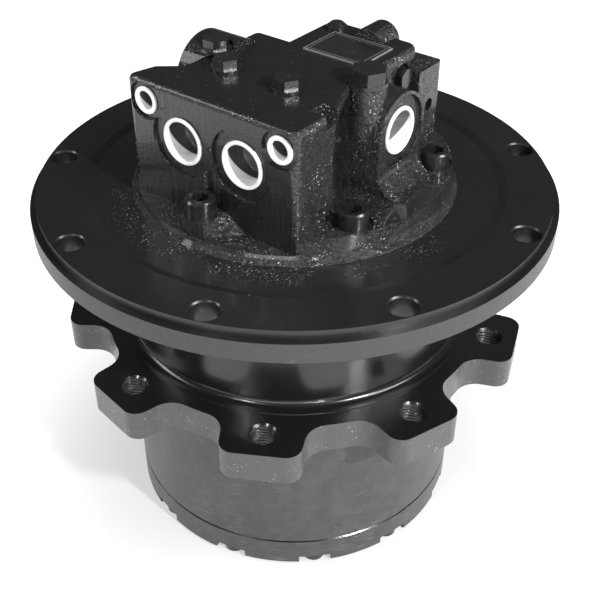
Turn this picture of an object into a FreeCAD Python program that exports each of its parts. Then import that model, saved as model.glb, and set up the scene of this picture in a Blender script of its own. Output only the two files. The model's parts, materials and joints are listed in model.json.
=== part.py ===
import FreeCAD, Part
import Sketcher
import math
import operator
import os

# Hydraulic drive motor, standing on its end cover. A frame flange carries the
# port block above it and the bearing spindle below it. The lobed hub turns on
# that spindle, driven by a two-stage planetary gear from an axial piston motor.
# Origin: centre of the end cover's outer face. Z is the axis of rotation, and
# the port face looks along -Y. Lengths are in millimetres, angles in degrees.

SIZES = [
    ("cover_thick", 20.0, "end cover, outer face to the seam with the hub"),
    ("seam_bevel", 0.8, "end cover and hub, bevel at the seam between them"),
    ("cover_bevel", 1.5, "end cover, bevel round its outer face"),
    ("cover_edge_r", 103.5, "end cover, outer radius"),
    ("cover_dish_r", 78.0, "end cover, radius of the dished inside"),
    ("cover_web", 14.0, "end cover, thickness left under the dish"),
    ("cover_spigot", 5.0, "end cover, spigot height into the hub"),
    ("cover_groove", 2.4, "end cover, depth and height of the ring seal's groove"),
    ("notch_depth", 6.0, "end cover, depth of the open screw pockets"),
    ("notch_wide", 20.0, "end cover, width of the open screw pockets"),
    ("cover_screw_circle", 96.0, "end cover, radius of the screw circle"),
    ("cover_screw_count", 12.0, "end cover, number of screws"),
    ("cover_phase", 15.0, "end cover, angle of the first screw"),
    ("cover_screw_r", 4.0, "end cover screws, shank radius"),
    ("cover_head_r", 6.5, "end cover screws, head radius"),
    ("cover_head", 5.0, "end cover screws, head height"),
    ("cover_screw_grip", 18.0, "end cover screws, length held in the hub"),
    ("cover_plug_r", 9.0, "oil plugs in the end cover, radius"),
    ("cover_plug_circle", 58.0, "oil plugs in the end cover, circle radius"),
    ("hub_r", 103.5, "hub barrel, outer radius"),
    ("lobe_base", 109.0, "lobed flange, height of its lower face"),
    ("lobe_thick", 19.0, "lobed flange, thickness"),
    ("lobe_count", 9.0, "lobed flange, number of lobes"),
    ("lobe_phase", 20.0, "lobed flange, angle of the first lobe"),
    ("lobe_tip_r", 138.2, "lobed flange, radius over the lobes"),
    ("lobe_valley_r", 115.5, "lobed flange, radius between the lobes"),
    ("lobe_tip_wide", 44.0, "lobed flange, width of a lobe at its tip"),
    ("lobe_foot_wide", 47.0, "lobed flange, width of a lobe at its foot"),
    ("lobe_tip_round", 9.0, "lobed flange, radius on the lobe corners"),
    ("lobe_foot_round", 14.0, "lobed flange, radius in the valleys"),
    ("sprocket_circle", 122.0, "sprocket holes, circle radius"),
    ("sprocket_hole_r", 7.0, "sprocket holes, radius for an M16 thread"),
    ("sprocket_hole_bevel", 1.1, "sprocket holes, bevel at each end"),
    ("pilot_step_r", 106.5, "step above the lobed flange, radius"),
    ("pilot_step", 2.0, "step above the lobed flange, height"),
    ("neck_r", 101.0, "hub neck, outer radius"),
    ("neck_round", 4.0, "hub neck, fillet at its foot"),
    ("hub_top", 195.0, "hub, height of its top face and of the seal faces"),
    ("ring_bore_r", 88.5, "hub, bore for the ring gear"),
    ("ring_foot", 26.0, "ring gear, height of its lower face"),
    ("ring_top", 94.0, "ring gear, height of its upper face"),
    ("race_bore_r", 88.0, "hub, bore for the outer races"),
    ("race_shoulder_r", 84.0, "hub, radius of the shoulder between the races"),
    ("race_wide", 22.0, "main bearings, width"),
    ("lower_race", 114.0, "lower main bearing, height of its lower face"),
    ("upper_race", 164.0, "upper main bearing, height of its lower face"),
    ("roller_pitch_r", 75.0, "main bearings, radius to the roller centres"),
    ("roller_r", 4.5, "main bearings, mean roller radius"),
    ("roller_long", 15.0, "main bearings, roller length"),
    ("roller_count", 20.0, "main bearings, rollers in each row"),
    ("roller_tilt", 12.0, "main bearings, angle of the rollers to Z"),
    ("roller_taper", 2.0, "main bearings, half angle of a roller"),
    ("running_gap", 0.06, "running gap between parts that turn on each other"),
    ("seal_bore_r", 91.5, "face seal, radius of the two housings"),
    ("seal_inner_r", 78.0, "face seal, inner radius of the metal rings"),
    ("seal_face_r", 90.0, "face seal, outer radius of the sealing faces"),
    ("seal_back_r", 87.3, "face seal, radius of the rings under the rubber"),
    ("seal_ring", 7.0, "face seal, height of one metal ring"),
    ("seal_rubber_r", 1.95, "face seal, section radius of the rubber rings"),
    ("skirt_r", 98.0, "frame flange, outer radius of the seal skirt"),
    ("skirt_gap", 1.0, "gap between the seal skirt and the hub"),
    ("flange_base", 201.5, "frame flange, height of its lower face"),
    ("flange_rim", 11.2, "frame flange, height of its rim"),
    ("land_height", 218.0, "frame flange, height of the machined land"),
    ("flange_r", 150.0, "frame flange, outer radius"),
    ("rabbet_r", 146.5, "frame flange, radius of the pilot step"),
    ("land_inner_r", 121.0, "frame flange, inner radius of the land"),
    ("floor_r", 116.0, "frame flange, outer radius of the sunk floor"),
    ("floor_drop", 1.5, "frame flange, depth of the sunk floor"),
    ("frame_circle", 137.5, "frame bolt holes, circle radius"),
    ("frame_hole_r", 7.6, "frame bolt holes, radius"),
    ("frame_hole_count", 9.0, "frame bolt holes, number"),
    ("frame_hole_phase", 10.0, "frame bolt holes, angle of the first"),
    ("frame_hole_bevel", 0.8, "frame bolt holes, bevel at each end"),
    ("spindle_r", 62.0, "spindle, radius of the bearing seats"),
    ("shoulder_r", 74.0, "spindle, radius of the shoulder over the bearings"),
    ("spindle_end_r", 59.5, "spindle, radius of the lower end"),
    ("spindle_foot", 92.0, "spindle, height of its lower end"),
    ("spindle_floor", 112.0, "spindle, height of the motor cavity's floor"),
    ("cavity_r", 50.0, "spindle, radius of the motor cavity"),
    ("end_bore_r", 22.0, "spindle, bore for the shaft bearing"),
    ("nut_r", 70.0, "bearing nut, outer radius"),
    ("nut_high", 7.0, "bearing nut, height"),
    ("gear_module", 2.5, "gears, module"),
    ("gear_pressure", 25.0, "gears, pressure angle"),
    ("gear_tip", 0.85, "gears, tooth height over the pitch line, in modules"),
    ("gear_root", 1.15, "gears, tooth depth under the pitch line, in modules"),
    ("gear_backlash", 0.28, "gears, play between the flanks of a pair"),
    ("ring_teeth", 60.0, "ring gear, teeth"),
    ("sun_a_teeth", 12.0, "first stage sun, teeth"),
    ("planet_a_teeth", 24.0, "first stage planets, teeth"),
    ("sun_b_teeth", 18.0, "second stage sun, teeth"),
    ("planet_b_teeth", 21.0, "second stage planets, teeth"),
    ("planet_count", 3.0, "planets in each stage"),
    ("side_gap", 0.3, "gap beside a planet or a seal"),
    ("stage_a_foot", 30.0, "first stage, height of the planets' lower faces"),
    ("stage_a_wide", 16.0, "first stage, planet width"),
    ("carrier_foot", 48.0, "first stage carrier, height of its plate"),
    ("carrier_thick", 10.0, "first stage carrier, plate thickness"),
    ("carrier_r", 62.0, "first stage carrier, plate radius"),
    ("carrier_bore_r", 18.0, "first stage carrier, bore that holds the second sun"),
    ("pin_a_r", 7.0, "first stage pins, radius"),
    ("pin_a_head_r", 10.0, "first stage pins, head radius"),
    ("stage_b_foot", 61.0, "second stage, height of the planets' lower faces"),
    ("stage_b_wide", 27.0, "second stage, planet width"),
    ("pin_b_r", 9.0, "second stage pins, radius"),
    ("pin_b_head_r", 12.5, "second stage pins, head radius"),
    ("pin_head", 1.2, "planet pins, head thickness"),
    ("pin_grip", 12.0, "second stage pins, length held in the spindle"),
    ("pad_r", 12.0, "thrust pad, radius"),
    ("shaft_r", 10.0, "drive shaft, radius inside the second stage sun"),
    ("shaft_end_r", 8.0, "drive shaft, radius under the first stage sun"),
    ("shaft_seat_r", 12.0, "drive shaft, radius at the lower bearing"),
    ("shaft_block_r", 13.0, "drive shaft, radius inside the cylinder block"),
    ("shaft_top_r", 9.0, "drive shaft, radius at the upper bearing"),
    ("shaft_top", 225.0, "drive shaft, height of its upper end"),
    ("bush_r", 13.0, "upper shaft bush, outer radius"),
    ("bearing_foot", 97.0, "lower shaft bearing, height of its lower face"),
    ("bearing_wide", 11.0, "lower shaft bearing, width"),
    ("needle_r", 2.0, "lower shaft bearing, roller radius"),
    ("needle_count", 14.0, "lower shaft bearing, rollers"),
    ("swash_r", 46.0, "swash plate, radius"),
    ("swash_thick", 12.0, "swash plate, thickness"),
    ("speed_piston_r", 6.0, "speed pistons, radius"),
    ("speed_piston_circle", 38.0, "speed pistons, circle radius"),
    ("shoe_r", 8.6, "piston shoes, radius"),
    ("piston_r", 7.0, "pistons, radius"),
    ("piston_circle", 27.0, "pistons, circle radius"),
    ("piston_count", 9.0, "pistons, number"),
    ("piston_top", 176.0, "pistons, height of their upper ends"),
    ("block_foot", 140.0, "cylinder block, height of its lower face"),
    ("block_top", 203.4, "cylinder block, height of its upper face"),
    ("block_r", 38.0, "cylinder block, radius"),
    ("brake_disc", 3.0, "brake, thickness of each disc"),
    ("brake_height", 150.0, "brake, height of the lowest disc's lower face"),
    ("brake_piston_top", 202.0, "brake, height of the piston's upper face"),
    ("brake_spring_thick", 1.4, "brake disc springs, thickness"),
    ("ledge_r", 47.5, "spindle, radius of the cavity under the brake"),
    ("valve_plate", 4.5, "valve plate, thickness"),
    ("spigot_foot", 208.0, "port block, height of its spigot's lower face"),
    ("base_r", 89.0, "port block, radius of the round base"),
    ("base_flare", 4.0, "port block, width of the cast fillet round its foot"),
    ("base_top", 230.0, "port block, height of the round base's upper face"),
    ("plinth_top", 220.5, "port block, height of the low front of the base"),
    ("block_high", 288.0, "port block, height of its top face"),
    ("block_right", 55.5, "port block, distance of its right side from the axis"),
    ("block_left", 58.0, "port block, distance of the port head's left side"),
    ("head_back", 52.0, "port block, where the port head starts to narrow"),
    ("head_left", 53.3, "port block, left side where the head starts to narrow"),
    ("waist_left", 41.0, "port block, left side behind the port head"),
    ("waist_front", 42.0, "port block, where the port head stops narrowing"),
    ("block_front", 69.8, "port block, distance of the port face from the axis"),
    ("block_back", 18.0, "port block, distance of the main body's back"),
    ("block_round", 4.0, "port block, radius on its upright edges"),
    ("top_round", 3.0, "port block, radius round its top face"),
    ("base_screw_circle", 79.0, "base screws, circle radius"),
    ("base_screw_count", 6.0, "base screws, number"),
    ("base_screw_phase", 30.0, "base screws, angle of the first"),
    ("base_screw_r", 5.0, "base screws, shank radius"),
    ("base_head_r", 8.0, "base screws, head radius"),
    ("base_head", 10.0, "base screws, head height"),
    ("base_seat", 229.0, "base screws, height of their seats"),
    ("base_screw_foot", 205.0, "base screws, height of their lower ends"),
    ("pocket_r", 10.6, "base screws, radius of the clearance in the casting"),
    ("port_height", 259.7, "main ports, height of their centres"),
    ("port_spread", 20.2, "main ports, distance of their centres from X 0"),
    ("port_r", 12.4, "main ports, bore radius for a 27 mm thread"),
    ("port_spot_r", 19.8, "main ports, spot face radius"),
    ("port_deep", 30.0, "main ports, depth"),
    ("pilot_height", 276.2, "small ports, height of their centres"),
    ("pilot_spread", 44.6, "small ports, distance of their centres from X 0"),
    ("pilot_r", 6.5, "small ports, bore radius for a 14 mm thread"),
    ("pilot_spot_r", 10.6, "small ports, spot face radius"),
    ("pilot_deep", 18.0, "small ports, depth"),
    ("spot_deep", 2.0, "ports, depth of the spot faces"),
    ("side_face", 62.5, "side port, distance of its face from the axis"),
    ("side_back", 11.8, "side port, distance of its centre behind the axis"),
    ("side_boss_r", 21.5, "side port, radius of the cast boss"),
    ("cap_rim", 1.6, "port caps, rim thickness"),
    ("cap_wall", 1.4, "port caps, wall thickness"),
    ("cap_deep", 14.0, "main port caps, depth in the port"),
    ("pilot_cap_deep", 9.0, "small port caps, depth in the port"),
    ("cap_r", 13.2, "main port caps, rim radius"),
    ("pilot_cap_r", 7.6, "small port caps, rim radius"),
    ("cap_fit", 0.1, "port caps, gap to the bore"),
    ("hex_r", 7.4, "gallery plugs, radius over the corners of the hexagon"),
    ("hex_high", 5.0, "gallery plugs, height of the hexagon"),
    ("hex_collar_r", 8.6, "gallery plugs, collar radius"),
    ("hex_collar", 1.4, "gallery plugs, collar height"),
    ("hex_shank_r", 5.0, "gallery plugs, shank radius"),
    ("hex_shank", 11.0, "gallery plugs, shank length"),
    ("plate_long", 39.0, "rating plate, length"),
    ("plate_wide", 29.4, "rating plate, width"),
    ("plate_thick", 0.8, "rating plate, thickness"),
    ("plate_x", 15.5, "rating plate, centre along X"),
    ("plate_y", 27.2, "rating plate, centre along Y"),
    ("spool_r", 6.6, "counterbalance spool, radius"),
    ("spool_height", 31.6, "counterbalance spool, distance of its axis under the rear boss"),
    ("spool_back", 60.0, "counterbalance spool, distance behind the axis"),
    ("spool_long", 36.0, "counterbalance spool, length"),
    ("spool_wall", 8.0, "counterbalance spool, casting left at the closed end"),
    ("spool_plug_r", 8.0, "spool bore plugs, radius"),
    ("spool_plug", 9.0, "spool bore plugs, length"),
    ("rear_left", -18.0, "port block, left end of the rear body"),
    ("rear_right", 42.5, "port block, right end of the rear body"),
    ("rear_back", 58.0, "port block, back of the rear body"),
    ("rear_round", 7.0, "port block, radius on the rear body's corners"),
    ("shelf_left", -14.0, "port block, left end of the rear shelf"),
    ("shelf_right", 49.5, "port block, right end of the rear shelf"),
    ("shelf_front", 48.0, "port block, front of the rear shelf's right end"),
    ("shelf_back", 71.5, "port block, back of the rear shelf"),
    ("shelf_round", 3.0, "port block, radius on the rear shelf's corners"),
    ("shelf_top", 276.0, "port block, height of the rear shelf"),
    ("pad_half", 9.0, "port block, half the width of the front screw pad"),
    ("pad_front", 87.5, "port block, front of the front screw pad"),
    ("web_right", 26.0, "port block, right end of the web beside the screw pad"),
    ("valley_front", -42.0, "port block, front of the valley beside the side port"),
    ("valley_foot", 36.0, "port block, inner end of the valley at its foot"),
    ("valley_rim", 44.8, "port block, inner end of the valley at the top"),
    ("valley_bend", 53.0, "port block, where the valley's wall bends at the top"),
    ("valley_bend_y", -31.0, "port block, place of that bend along Y"),
    ("valley_turn", 266.0, "port block, height where the valley's wall starts to lean"),
    ("cove_r", 12.0, "port block, cast round at the foot of the side port's column"),
    ("notch_x", 45.0, "port block, inner end of the notch in the top edge"),
    ("notch_front", -46.0, "port block, front of the notch in the top edge"),
    ("notch_back", -35.0, "port block, back of the notch in the top edge"),
    ("notch_floor", 281.0, "port block, height of the notch's floor"),
    ("relief_r", 7.0, "relief valves, cartridge radius"),
    ("relief_long", 16.0, "relief valves, cartridge length in the block"),
    ("relief_socket_r", 4.6, "relief valves, radius of the hexagon socket"),
    ("relief_socket", 7.0, "relief valves, depth of the hexagon socket"),
    ("left_boss_r", 23.4, "left valve boss, radius"),
    ("left_boss_end", -57.0, "left valve boss, its end along X"),
    ("left_boss_long", 27.0, "left valve boss, length"),
    ("left_boss_y", -9.5, "left valve boss, place along Y"),
    ("left_boss_height", 269.5, "left valve boss, height of its axis"),
    ("rear_boss_r", 10.4, "rear valve boss, radius"),
    ("rear_boss_end", 60.0, "rear valve boss, its end along Y"),
    ("rear_boss_long", 17.0, "rear valve boss, length"),
    ("rear_boss_x", 17.3, "rear valve boss, place along X"),
    ("rear_boss_height", 284.6, "rear valve boss, height of its axis"),
    ("left_plug_x", -38.0, "plug on the left boss, place along X"),
    ("left_plug_y", -20.0, "plug on the left boss, place along Y"),
    ("left_plug_seat", 290.0, "plug on the left boss, height of its seat"),
    ("top_plug_x", 20.2, "front top plugs, distance from X 0"),
    ("top_plug_y", -32.3, "front top plugs, place along Y"),
    ("dome_plug_x", -6.8, "round top plug, place along X"),
    ("dome_plug_y", 47.5, "round top plug, place along Y"),
    ("dome_plug_r", 6.0, "round top plug, head radius"),
    ("dome_plug_high", 4.0, "round top plug, head height"),
    ("face_plug_y", 40.5, "plug on the rear body's right face, place along Y"),
    ("face_plug_height", 274.5, "plug on the rear body's right face, height"),
    ("face_plug_hex_r", 5.6, "plug on the rear body's right face, hexagon radius"),
    ("face_plug_out", 3.6, "plug on the rear body's right face, length outside"),
    ("face_spot_r", 7.6, "plug on the rear body's right face, recess radius"),
    ("face_spot", 2.6, "plug on the rear body's right face, recess depth"),
    ("face_hole_y", 49.8, "small hole beside that plug, place along Y"),
    ("face_hole_height", 278.4, "small hole beside that plug, height"),
    ("face_hole_r", 1.7, "small hole beside that plug, radius"),
    ("face_hole", 4.0, "small hole beside that plug, depth"),
    ("side_plug_x", 49.5, "large top plug, place along X"),
    ("side_plug_y", -2.0, "large top plug, place along Y"),
    ("side_plug_hex_r", 9.8, "large top plug, radius over the hexagon's corners"),
    ("side_plug_hex", 7.0, "large top plug, height of the hexagon"),
    ("side_plug_r", 7.0, "large top plug, shank radius"),
]


class Dim:
    """A size that keeps both its number and the rule that leads to the sheet."""

    def __init__(self, number, rule):
        self.number = float(number)
        self.rule = rule

    def __float__(self):
        return self.number

    def __add__(self, other):
        return joined(self, "+", other)

    def __radd__(self, other):
        return joined(other, "+", self)

    def __sub__(self, other):
        return joined(self, "-", other)

    def __rsub__(self, other):
        return joined(other, "-", self)

    def __mul__(self, other):
        return joined(self, "*", other)

    def __rmul__(self, other):
        return joined(other, "*", self)

    def __truediv__(self, other):
        return joined(self, "/", other)

    def __neg__(self):
        return joined(0, "-", self)


SIGNS = {"+": operator.add, "-": operator.sub, "*": operator.mul, "/": operator.truediv}


def dim(value):
    """The value as a Dim, whether it is one already or a plain number."""
    return value if isinstance(value, Dim) else Dim(value, f"{float(value):.6f}")


def joined(first, sign, second):
    """Two sizes joined by one arithmetic sign."""
    first, second = dim(first), dim(second)
    number = SIGNS[sign](first.number, second.number)
    return Dim(number, f"({first.rule} {sign} {second.rule})")


def turned_by(radius, angle, name):
    """One coordinate of a point on a circle: name is cos or sin, angle in degrees."""
    radius, angle = dim(radius), dim(angle)
    factor = getattr(math, name)(math.radians(angle.number))
    return Dim(radius.number * factor, f"({radius.rule} * {name}({angle.rule}))")


doc = FreeCAD.newDocument("drive_motor")
sheet = doc.addObject("Spreadsheet::Sheet", "Size")
for row, (alias, value, meaning) in enumerate(SIZES, 1):
    sheet.set(f"A{row}", meaning)
    sheet.set(f"B{row}", str(value))
    sheet.setAlias(f"B{row}", alias)
doc.recompute()


class Sizes:
    """The sheet's cells as Dims, by their names."""

    def __getattr__(self, alias):
        return Dim(sheet.get(alias), f"Size.{alias}")


S = Sizes()
NODES = {}

# Building helpers: bodies, sketches, primitives and patterns.

AIMS = {
    "up": ((1, 0, 0), 0),
    "down": ((1, 0, 0), 180),
    "right": ((0, 1, 0), 90),
    "left": ((0, 1, 0), -90),
    "front": ((1, 0, 0), 90),
    "back": ((1, 0, 0), -90),
}


def bind(thing, prop, value):
    """Tie one property to its rule."""
    thing.setExpression(prop, dim(value).rule)


def new_body(name, node=True):
    """An empty body, listed as a node of the model unless node is False."""
    body = doc.addObject("PartDesign::Body", name)
    body.Label = name
    if node:
        NODES[name] = body
    return body


def plane_of(body, role):
    """The body's own origin plane with that role."""
    return next(item for item in body.Origin.OriginFeatures if item.Role == role)


def new_sketch(body, role="XY_Plane", height=0):
    """A sketch on one of the body's origin planes, lifted by height."""
    sketch = body.newObject("Sketcher::SketchObject", body.Name + "_outline")
    sketch.AttachmentSupport = [(plane_of(body, role), "")]
    sketch.MapMode = "FlatFace"
    bind(sketch, "AttachmentOffset.Base.z", height)
    return sketch


def hold(sketch, edge, end, across, up):
    """Place one end of a sketch line at its two sizes from the sketch's origin."""
    for kind, value in (("DistanceX", across), ("DistanceY", up)):
        index = sketch.addConstraint(Sketcher.Constraint(kind, -1, 1, edge, end, float(value)))
        sketch.setExpression(f"Constraints[{index}]", dim(value).rule)


def draw_outline(sketch, corners):
    """A closed outline through the corners, each held by its two sizes."""
    spots = [FreeCAD.Vector(float(x), float(y), 0) for x, y in corners]
    for index, spot in enumerate(spots):
        sketch.addGeometry(Part.LineSegment(spot, spots[(index + 1) % len(spots)]))
    for index in range(len(spots)):
        after = (index + 1) % len(spots)
        sketch.addConstraint(Sketcher.Constraint("Coincident", index, 2, after, 1))
    for index, (x, y) in enumerate(corners):
        hold(sketch, index, 1, x, y)


def spin(body, corners):
    """Turn an outline of (radius, height) corners about Z."""
    sketch = new_sketch(body, "XZ_Plane")
    draw_outline(sketch, corners)
    turned = body.newObject("PartDesign::Revolution", body.Name + "_turned")
    turned.Profile = sketch
    turned.ReferenceAxis = (sketch, ["V_Axis"])
    turned.Angle = 360
    return turned


def turned_body(name, corners, node=True):
    """A body of one turned outline."""
    body = new_body(name, node)
    spin(body, corners)
    return body


def round_ring(name, mean_r, height, section_r):
    """A ring of eight-sided section, as a rubber ring looks when it is squeezed."""
    corners = []
    for step in range(8):
        across = turned_by(section_r, 22.5 + 45 * step, "cos")
        up = turned_by(section_r, 22.5 + 45 * step, "sin")
        corners.append((mean_r + across, height + up))
    return turned_body(name, corners)


def ring_body(name, inner, outer, foot, top, node=True):
    """A plain ring between two radii and two heights."""
    return turned_body(name, [(inner, foot), (outer, foot), (outer, top), (inner, top)], node)


def extrude(body, kind, sketch, length, upward=True):
    """Pad or pocket a sketch by a length, up or down."""
    feature = body.newObject("PartDesign::" + kind, body.Name + "_" + kind.lower())
    feature.Profile = sketch
    bind(feature, "Length", length)
    feature.Reversed = upward == (kind == "Pocket")
    return feature


def ring_pattern(body, features, count):
    """Repeat the features round Z."""
    pattern = body.newObject("PartDesign::PolarPattern", body.Name + "_ring")
    pattern.Originals = features
    axis = next(item for item in body.Origin.OriginFeatures if item.Role == "Z_Axis")
    pattern.Axis = (axis, [""])
    pattern.Angle = 360
    bind(pattern, "Occurrences", count)
    body.Tip = pattern
    return pattern


def loft(body, kind, lower, upper, foot, top):
    """Add or cut a shape with straight walls between two outlines at two heights."""
    sketches = []
    for corners, height in ((lower, foot), (upper, top)):
        sketch = new_sketch(body, "XY_Plane", height)
        draw_outline(sketch, corners)
        sketches.append(sketch)
    feature = body.newObject(f"PartDesign::{kind}Loft", body.Name + "_loft")
    feature.Profile = sketches[0]
    feature.Sections = sketches[1:]
    feature.Ruled = True
    return feature


def seat(piece, at, aim):
    """Turn a primitive to its aim and tie its place to the sheet."""
    axis, angle = AIMS[aim]
    turn = FreeCAD.Rotation(FreeCAD.Vector(*axis), angle)
    piece.Placement = FreeCAD.Placement(FreeCAD.Vector(*[float(v) for v in at]), turn)
    for letter, value in zip("xyz", at):
        bind(piece, "Placement.Base." + letter, value)


def rod(body, kind, radius, length, at, aim="up"):
    """Add or cut a cylinder from the point at, along its aim."""
    piece = body.newObject(f"PartDesign::{kind}Cylinder", body.Name + "_rod")
    bind(piece, "Radius", radius)
    bind(piece, "Height", length)
    seat(piece, at, aim)
    return piece


def cone(body, kind, near_r, far_r, length, at, aim="up"):
    """Add or cut a cone from the point at, along its aim."""
    piece = body.newObject(f"PartDesign::{kind}Cone", body.Name + "_cone")
    bind(piece, "Radius1", near_r)
    bind(piece, "Radius2", far_r)
    bind(piece, "Height", length)
    seat(piece, at, aim)
    return piece


def slab(body, kind, low, high):
    """Add or cut a box between two opposite corners."""
    piece = body.newObject(f"PartDesign::{kind}Box", body.Name + "_slab")
    for prop, start, end in zip(("Length", "Width", "Height"), low, high):
        bind(piece, prop, end - start)
    seat(piece, low, "up")
    return piece


def hexagon(body, kind, radius, length, at, aim="up"):
    """Add or cut a hexagonal prism from the point at, along its aim."""
    piece = body.newObject(f"PartDesign::{kind}Prism", body.Name + "_hexagon")
    piece.Polygon = 6
    bind(piece, "Circumradius", radius)
    bind(piece, "Height", length)
    seat(piece, at, aim)
    return piece


def dress(body, kind, size, wanted):
    """Fillet or chamfer the edges of the tip that the test picks."""
    doc.recompute()
    base = body.Tip
    names = [f"Edge{i}" for i, edge in enumerate(base.Shape.Edges, 1) if wanted(edge)]
    feature = body.newObject("PartDesign::" + kind, body.Name + "_" + kind.lower())
    feature.Base = (base, names)
    bind(feature, "Radius" if kind == "Fillet" else "Size", size)
    return feature


def swing(body, angle):
    """Turn a whole body about Z by an angle."""
    body.Placement.Rotation = FreeCAD.Rotation(FreeCAD.Vector(0, 0, 1), float(angle))
    bind(body, "Placement.Rotation.Angle", angle)


def own_shape(name, shape):
    """A node whose shape is worked out here from the sheet's sizes."""
    piece = doc.addObject("Part::Feature", name)
    piece.Shape = shape
    piece.Placement = shape.Placement
    piece.Label = name
    NODES[name] = piece
    return piece


def around(shape, count, phase=0.0):
    """Copies of a shape, evenly round Z, as one compound of separate solids."""
    copies = []
    for index in range(round(float(count))):
        copy = shape.copy()
        angle = float(phase) + 360.0 * index / float(count)
        copy.rotate(FreeCAD.Vector(), FreeCAD.Vector(0, 0, 1), angle)
        copies.append(copy)
    return Part.makeCompound(copies)


def group(name, body, count, phase=0.0):
    """A node of identical pieces round Z, from the one body that they share."""
    doc.recompute()
    return own_shape(name, around(body.Shape, count, phase))


def placed(name, body, places):
    """A node of identical pieces, each a copy of the body at a point and an aim."""
    doc.recompute()
    copies = []
    for spot, aim in places:
        axis, angle = AIMS[aim]
        turn = FreeCAD.Rotation(FreeCAD.Vector(*axis), angle)
        copy = body.Shape.copy()
        copy.Placement = FreeCAD.Placement(FreeCAD.Vector(*[float(v) for v in spot]), turn)
        copies.append(copy)
    return own_shape(name, Part.makeCompound(copies))


def both(name, shapes):
    """A node of two or more separate solids."""
    doc.recompute()
    return own_shape(name, Part.makeCompound(shapes))


def upright(edge):
    """True for a straight edge along Z."""
    if not isinstance(edge.Curve, Part.Line):
        return False
    return abs(abs(edge.Curve.Direction.z) - 1) < 1e-6


def bolt_holes(body, radius, circle, phase, foot, length, count):
    """Holes round Z, cut upward from foot."""
    x = turned_by(circle, phase, "cos")
    y = turned_by(circle, phase, "sin")
    hole = rod(body, "Subtractive", radius, length, (x, y, foot))
    return ring_pattern(body, [hole], count)


def bevelled_holes(body, radius, bevel, circle, phase, foot, top, count):
    """Through holes round Z with a bevel at both ends."""
    x = turned_by(circle, phase, "cos")
    y = turned_by(circle, phase, "sin")
    hole = rod(body, "Subtractive", radius, top - foot, (x, y, foot))
    lower = cone(body, "Subtractive", radius + bevel, radius, bevel, (x, y, foot))
    upper = cone(body, "Subtractive", radius, radius + bevel, bevel, (x, y, top - bevel))
    return ring_pattern(body, [hole, lower, upper], count)


# Places that several pieces share.

FLOOR = S.land_height - S.floor_drop
RIM_TOP = S.flange_base + S.flange_rim
SKIRT_FOOT = S.hub_top + S.skirt_gap
SEAL_POCKET = S.seal_ring + 0.5
SEAL_ROOF = S.hub_top + SEAL_POCKET
SEAL_FLOOR = S.hub_top - SEAL_POCKET
LOBE_TOP = S.lobe_base + S.lobe_thick
NUT_FOOT = S.lower_race - S.nut_high
CIRCLE_A = S.gear_module * (S.sun_a_teeth + S.planet_a_teeth) / 2
CIRCLE_B = S.gear_module * (S.sun_b_teeth + S.planet_b_teeth) / 2
PLATE_A_TOP = S.carrier_foot + S.carrier_thick
PIN_A_FOOT = S.stage_a_foot - S.side_gap
PIN_B_FOOT = S.stage_b_foot - S.side_gap
PIN_B_TOP = S.spindle_foot + S.pin_grip
BEARING_TOP = S.bearing_foot + S.bearing_wide
SPEED_BORE_FOOT = S.spindle_foot + 6
NEEDLE_CIRCLE = (S.shaft_seat_r + S.end_bore_r) / 2
SHOE_FOOT = S.spindle_floor + S.swash_thick
BALL_HEIGHT = SHOE_FOOT + 7.5
FRONT = -S.block_front
SPOOL_HEIGHT = S.rear_boss_height - S.spool_height


def frame_flange():
    """The flange that bolts to the machine, in one piece with the bearing spindle."""
    body = new_body("frame_flange")
    spin(body, [
        (S.end_bore_r, S.spindle_foot),
        (S.spindle_end_r, S.spindle_foot),
        (S.spindle_end_r, S.lower_race),
        (S.spindle_r, S.lower_race),
        (S.spindle_r, S.upper_race + S.race_wide),
        (S.shoulder_r, S.upper_race + S.race_wide),
        (S.shoulder_r, SEAL_ROOF),
        (S.seal_bore_r, SEAL_ROOF),
        (S.seal_bore_r, SKIRT_FOOT),
        (S.skirt_r, SKIRT_FOOT),
        (S.skirt_r, S.flange_base),
        (S.flange_r, S.flange_base),
        (S.flange_r, RIM_TOP),
        (S.rabbet_r, RIM_TOP),
        (S.rabbet_r, S.land_height),
        (S.land_inner_r, S.land_height),
        (S.floor_r, FLOOR),
        (S.cavity_r, FLOOR),
        (S.cavity_r, S.brake_height),
        (S.ledge_r, S.brake_height),
        (S.ledge_r, S.spindle_floor),
        (S.end_bore_r, S.spindle_floor),
    ])
    foot = S.stage_b_foot + S.stage_b_wide + S.side_gap
    boss = rod(body, "Additive", S.pin_b_head_r, S.spindle_foot - foot + 1, (CIRCLE_B, 0, foot))
    ring_pattern(body, [boss], S.planet_count)
    bevelled_holes(body, S.frame_hole_r, S.frame_hole_bevel, S.frame_circle, S.frame_hole_phase,
                   S.flange_base, S.land_height, S.frame_hole_count)
    bolt_holes(body, S.base_screw_r, S.base_screw_circle, S.base_screw_phase, S.base_screw_foot,
               FLOOR - S.base_screw_foot, S.base_screw_count)
    bolt_holes(body, S.pin_b_r, CIRCLE_B, 0, foot, PIN_B_TOP - foot, S.planet_count)
    bolt_holes(body, S.speed_piston_r, S.speed_piston_circle, 90, SPEED_BORE_FOOT,
               S.spindle_floor - SPEED_BORE_FOOT, 2)


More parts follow.
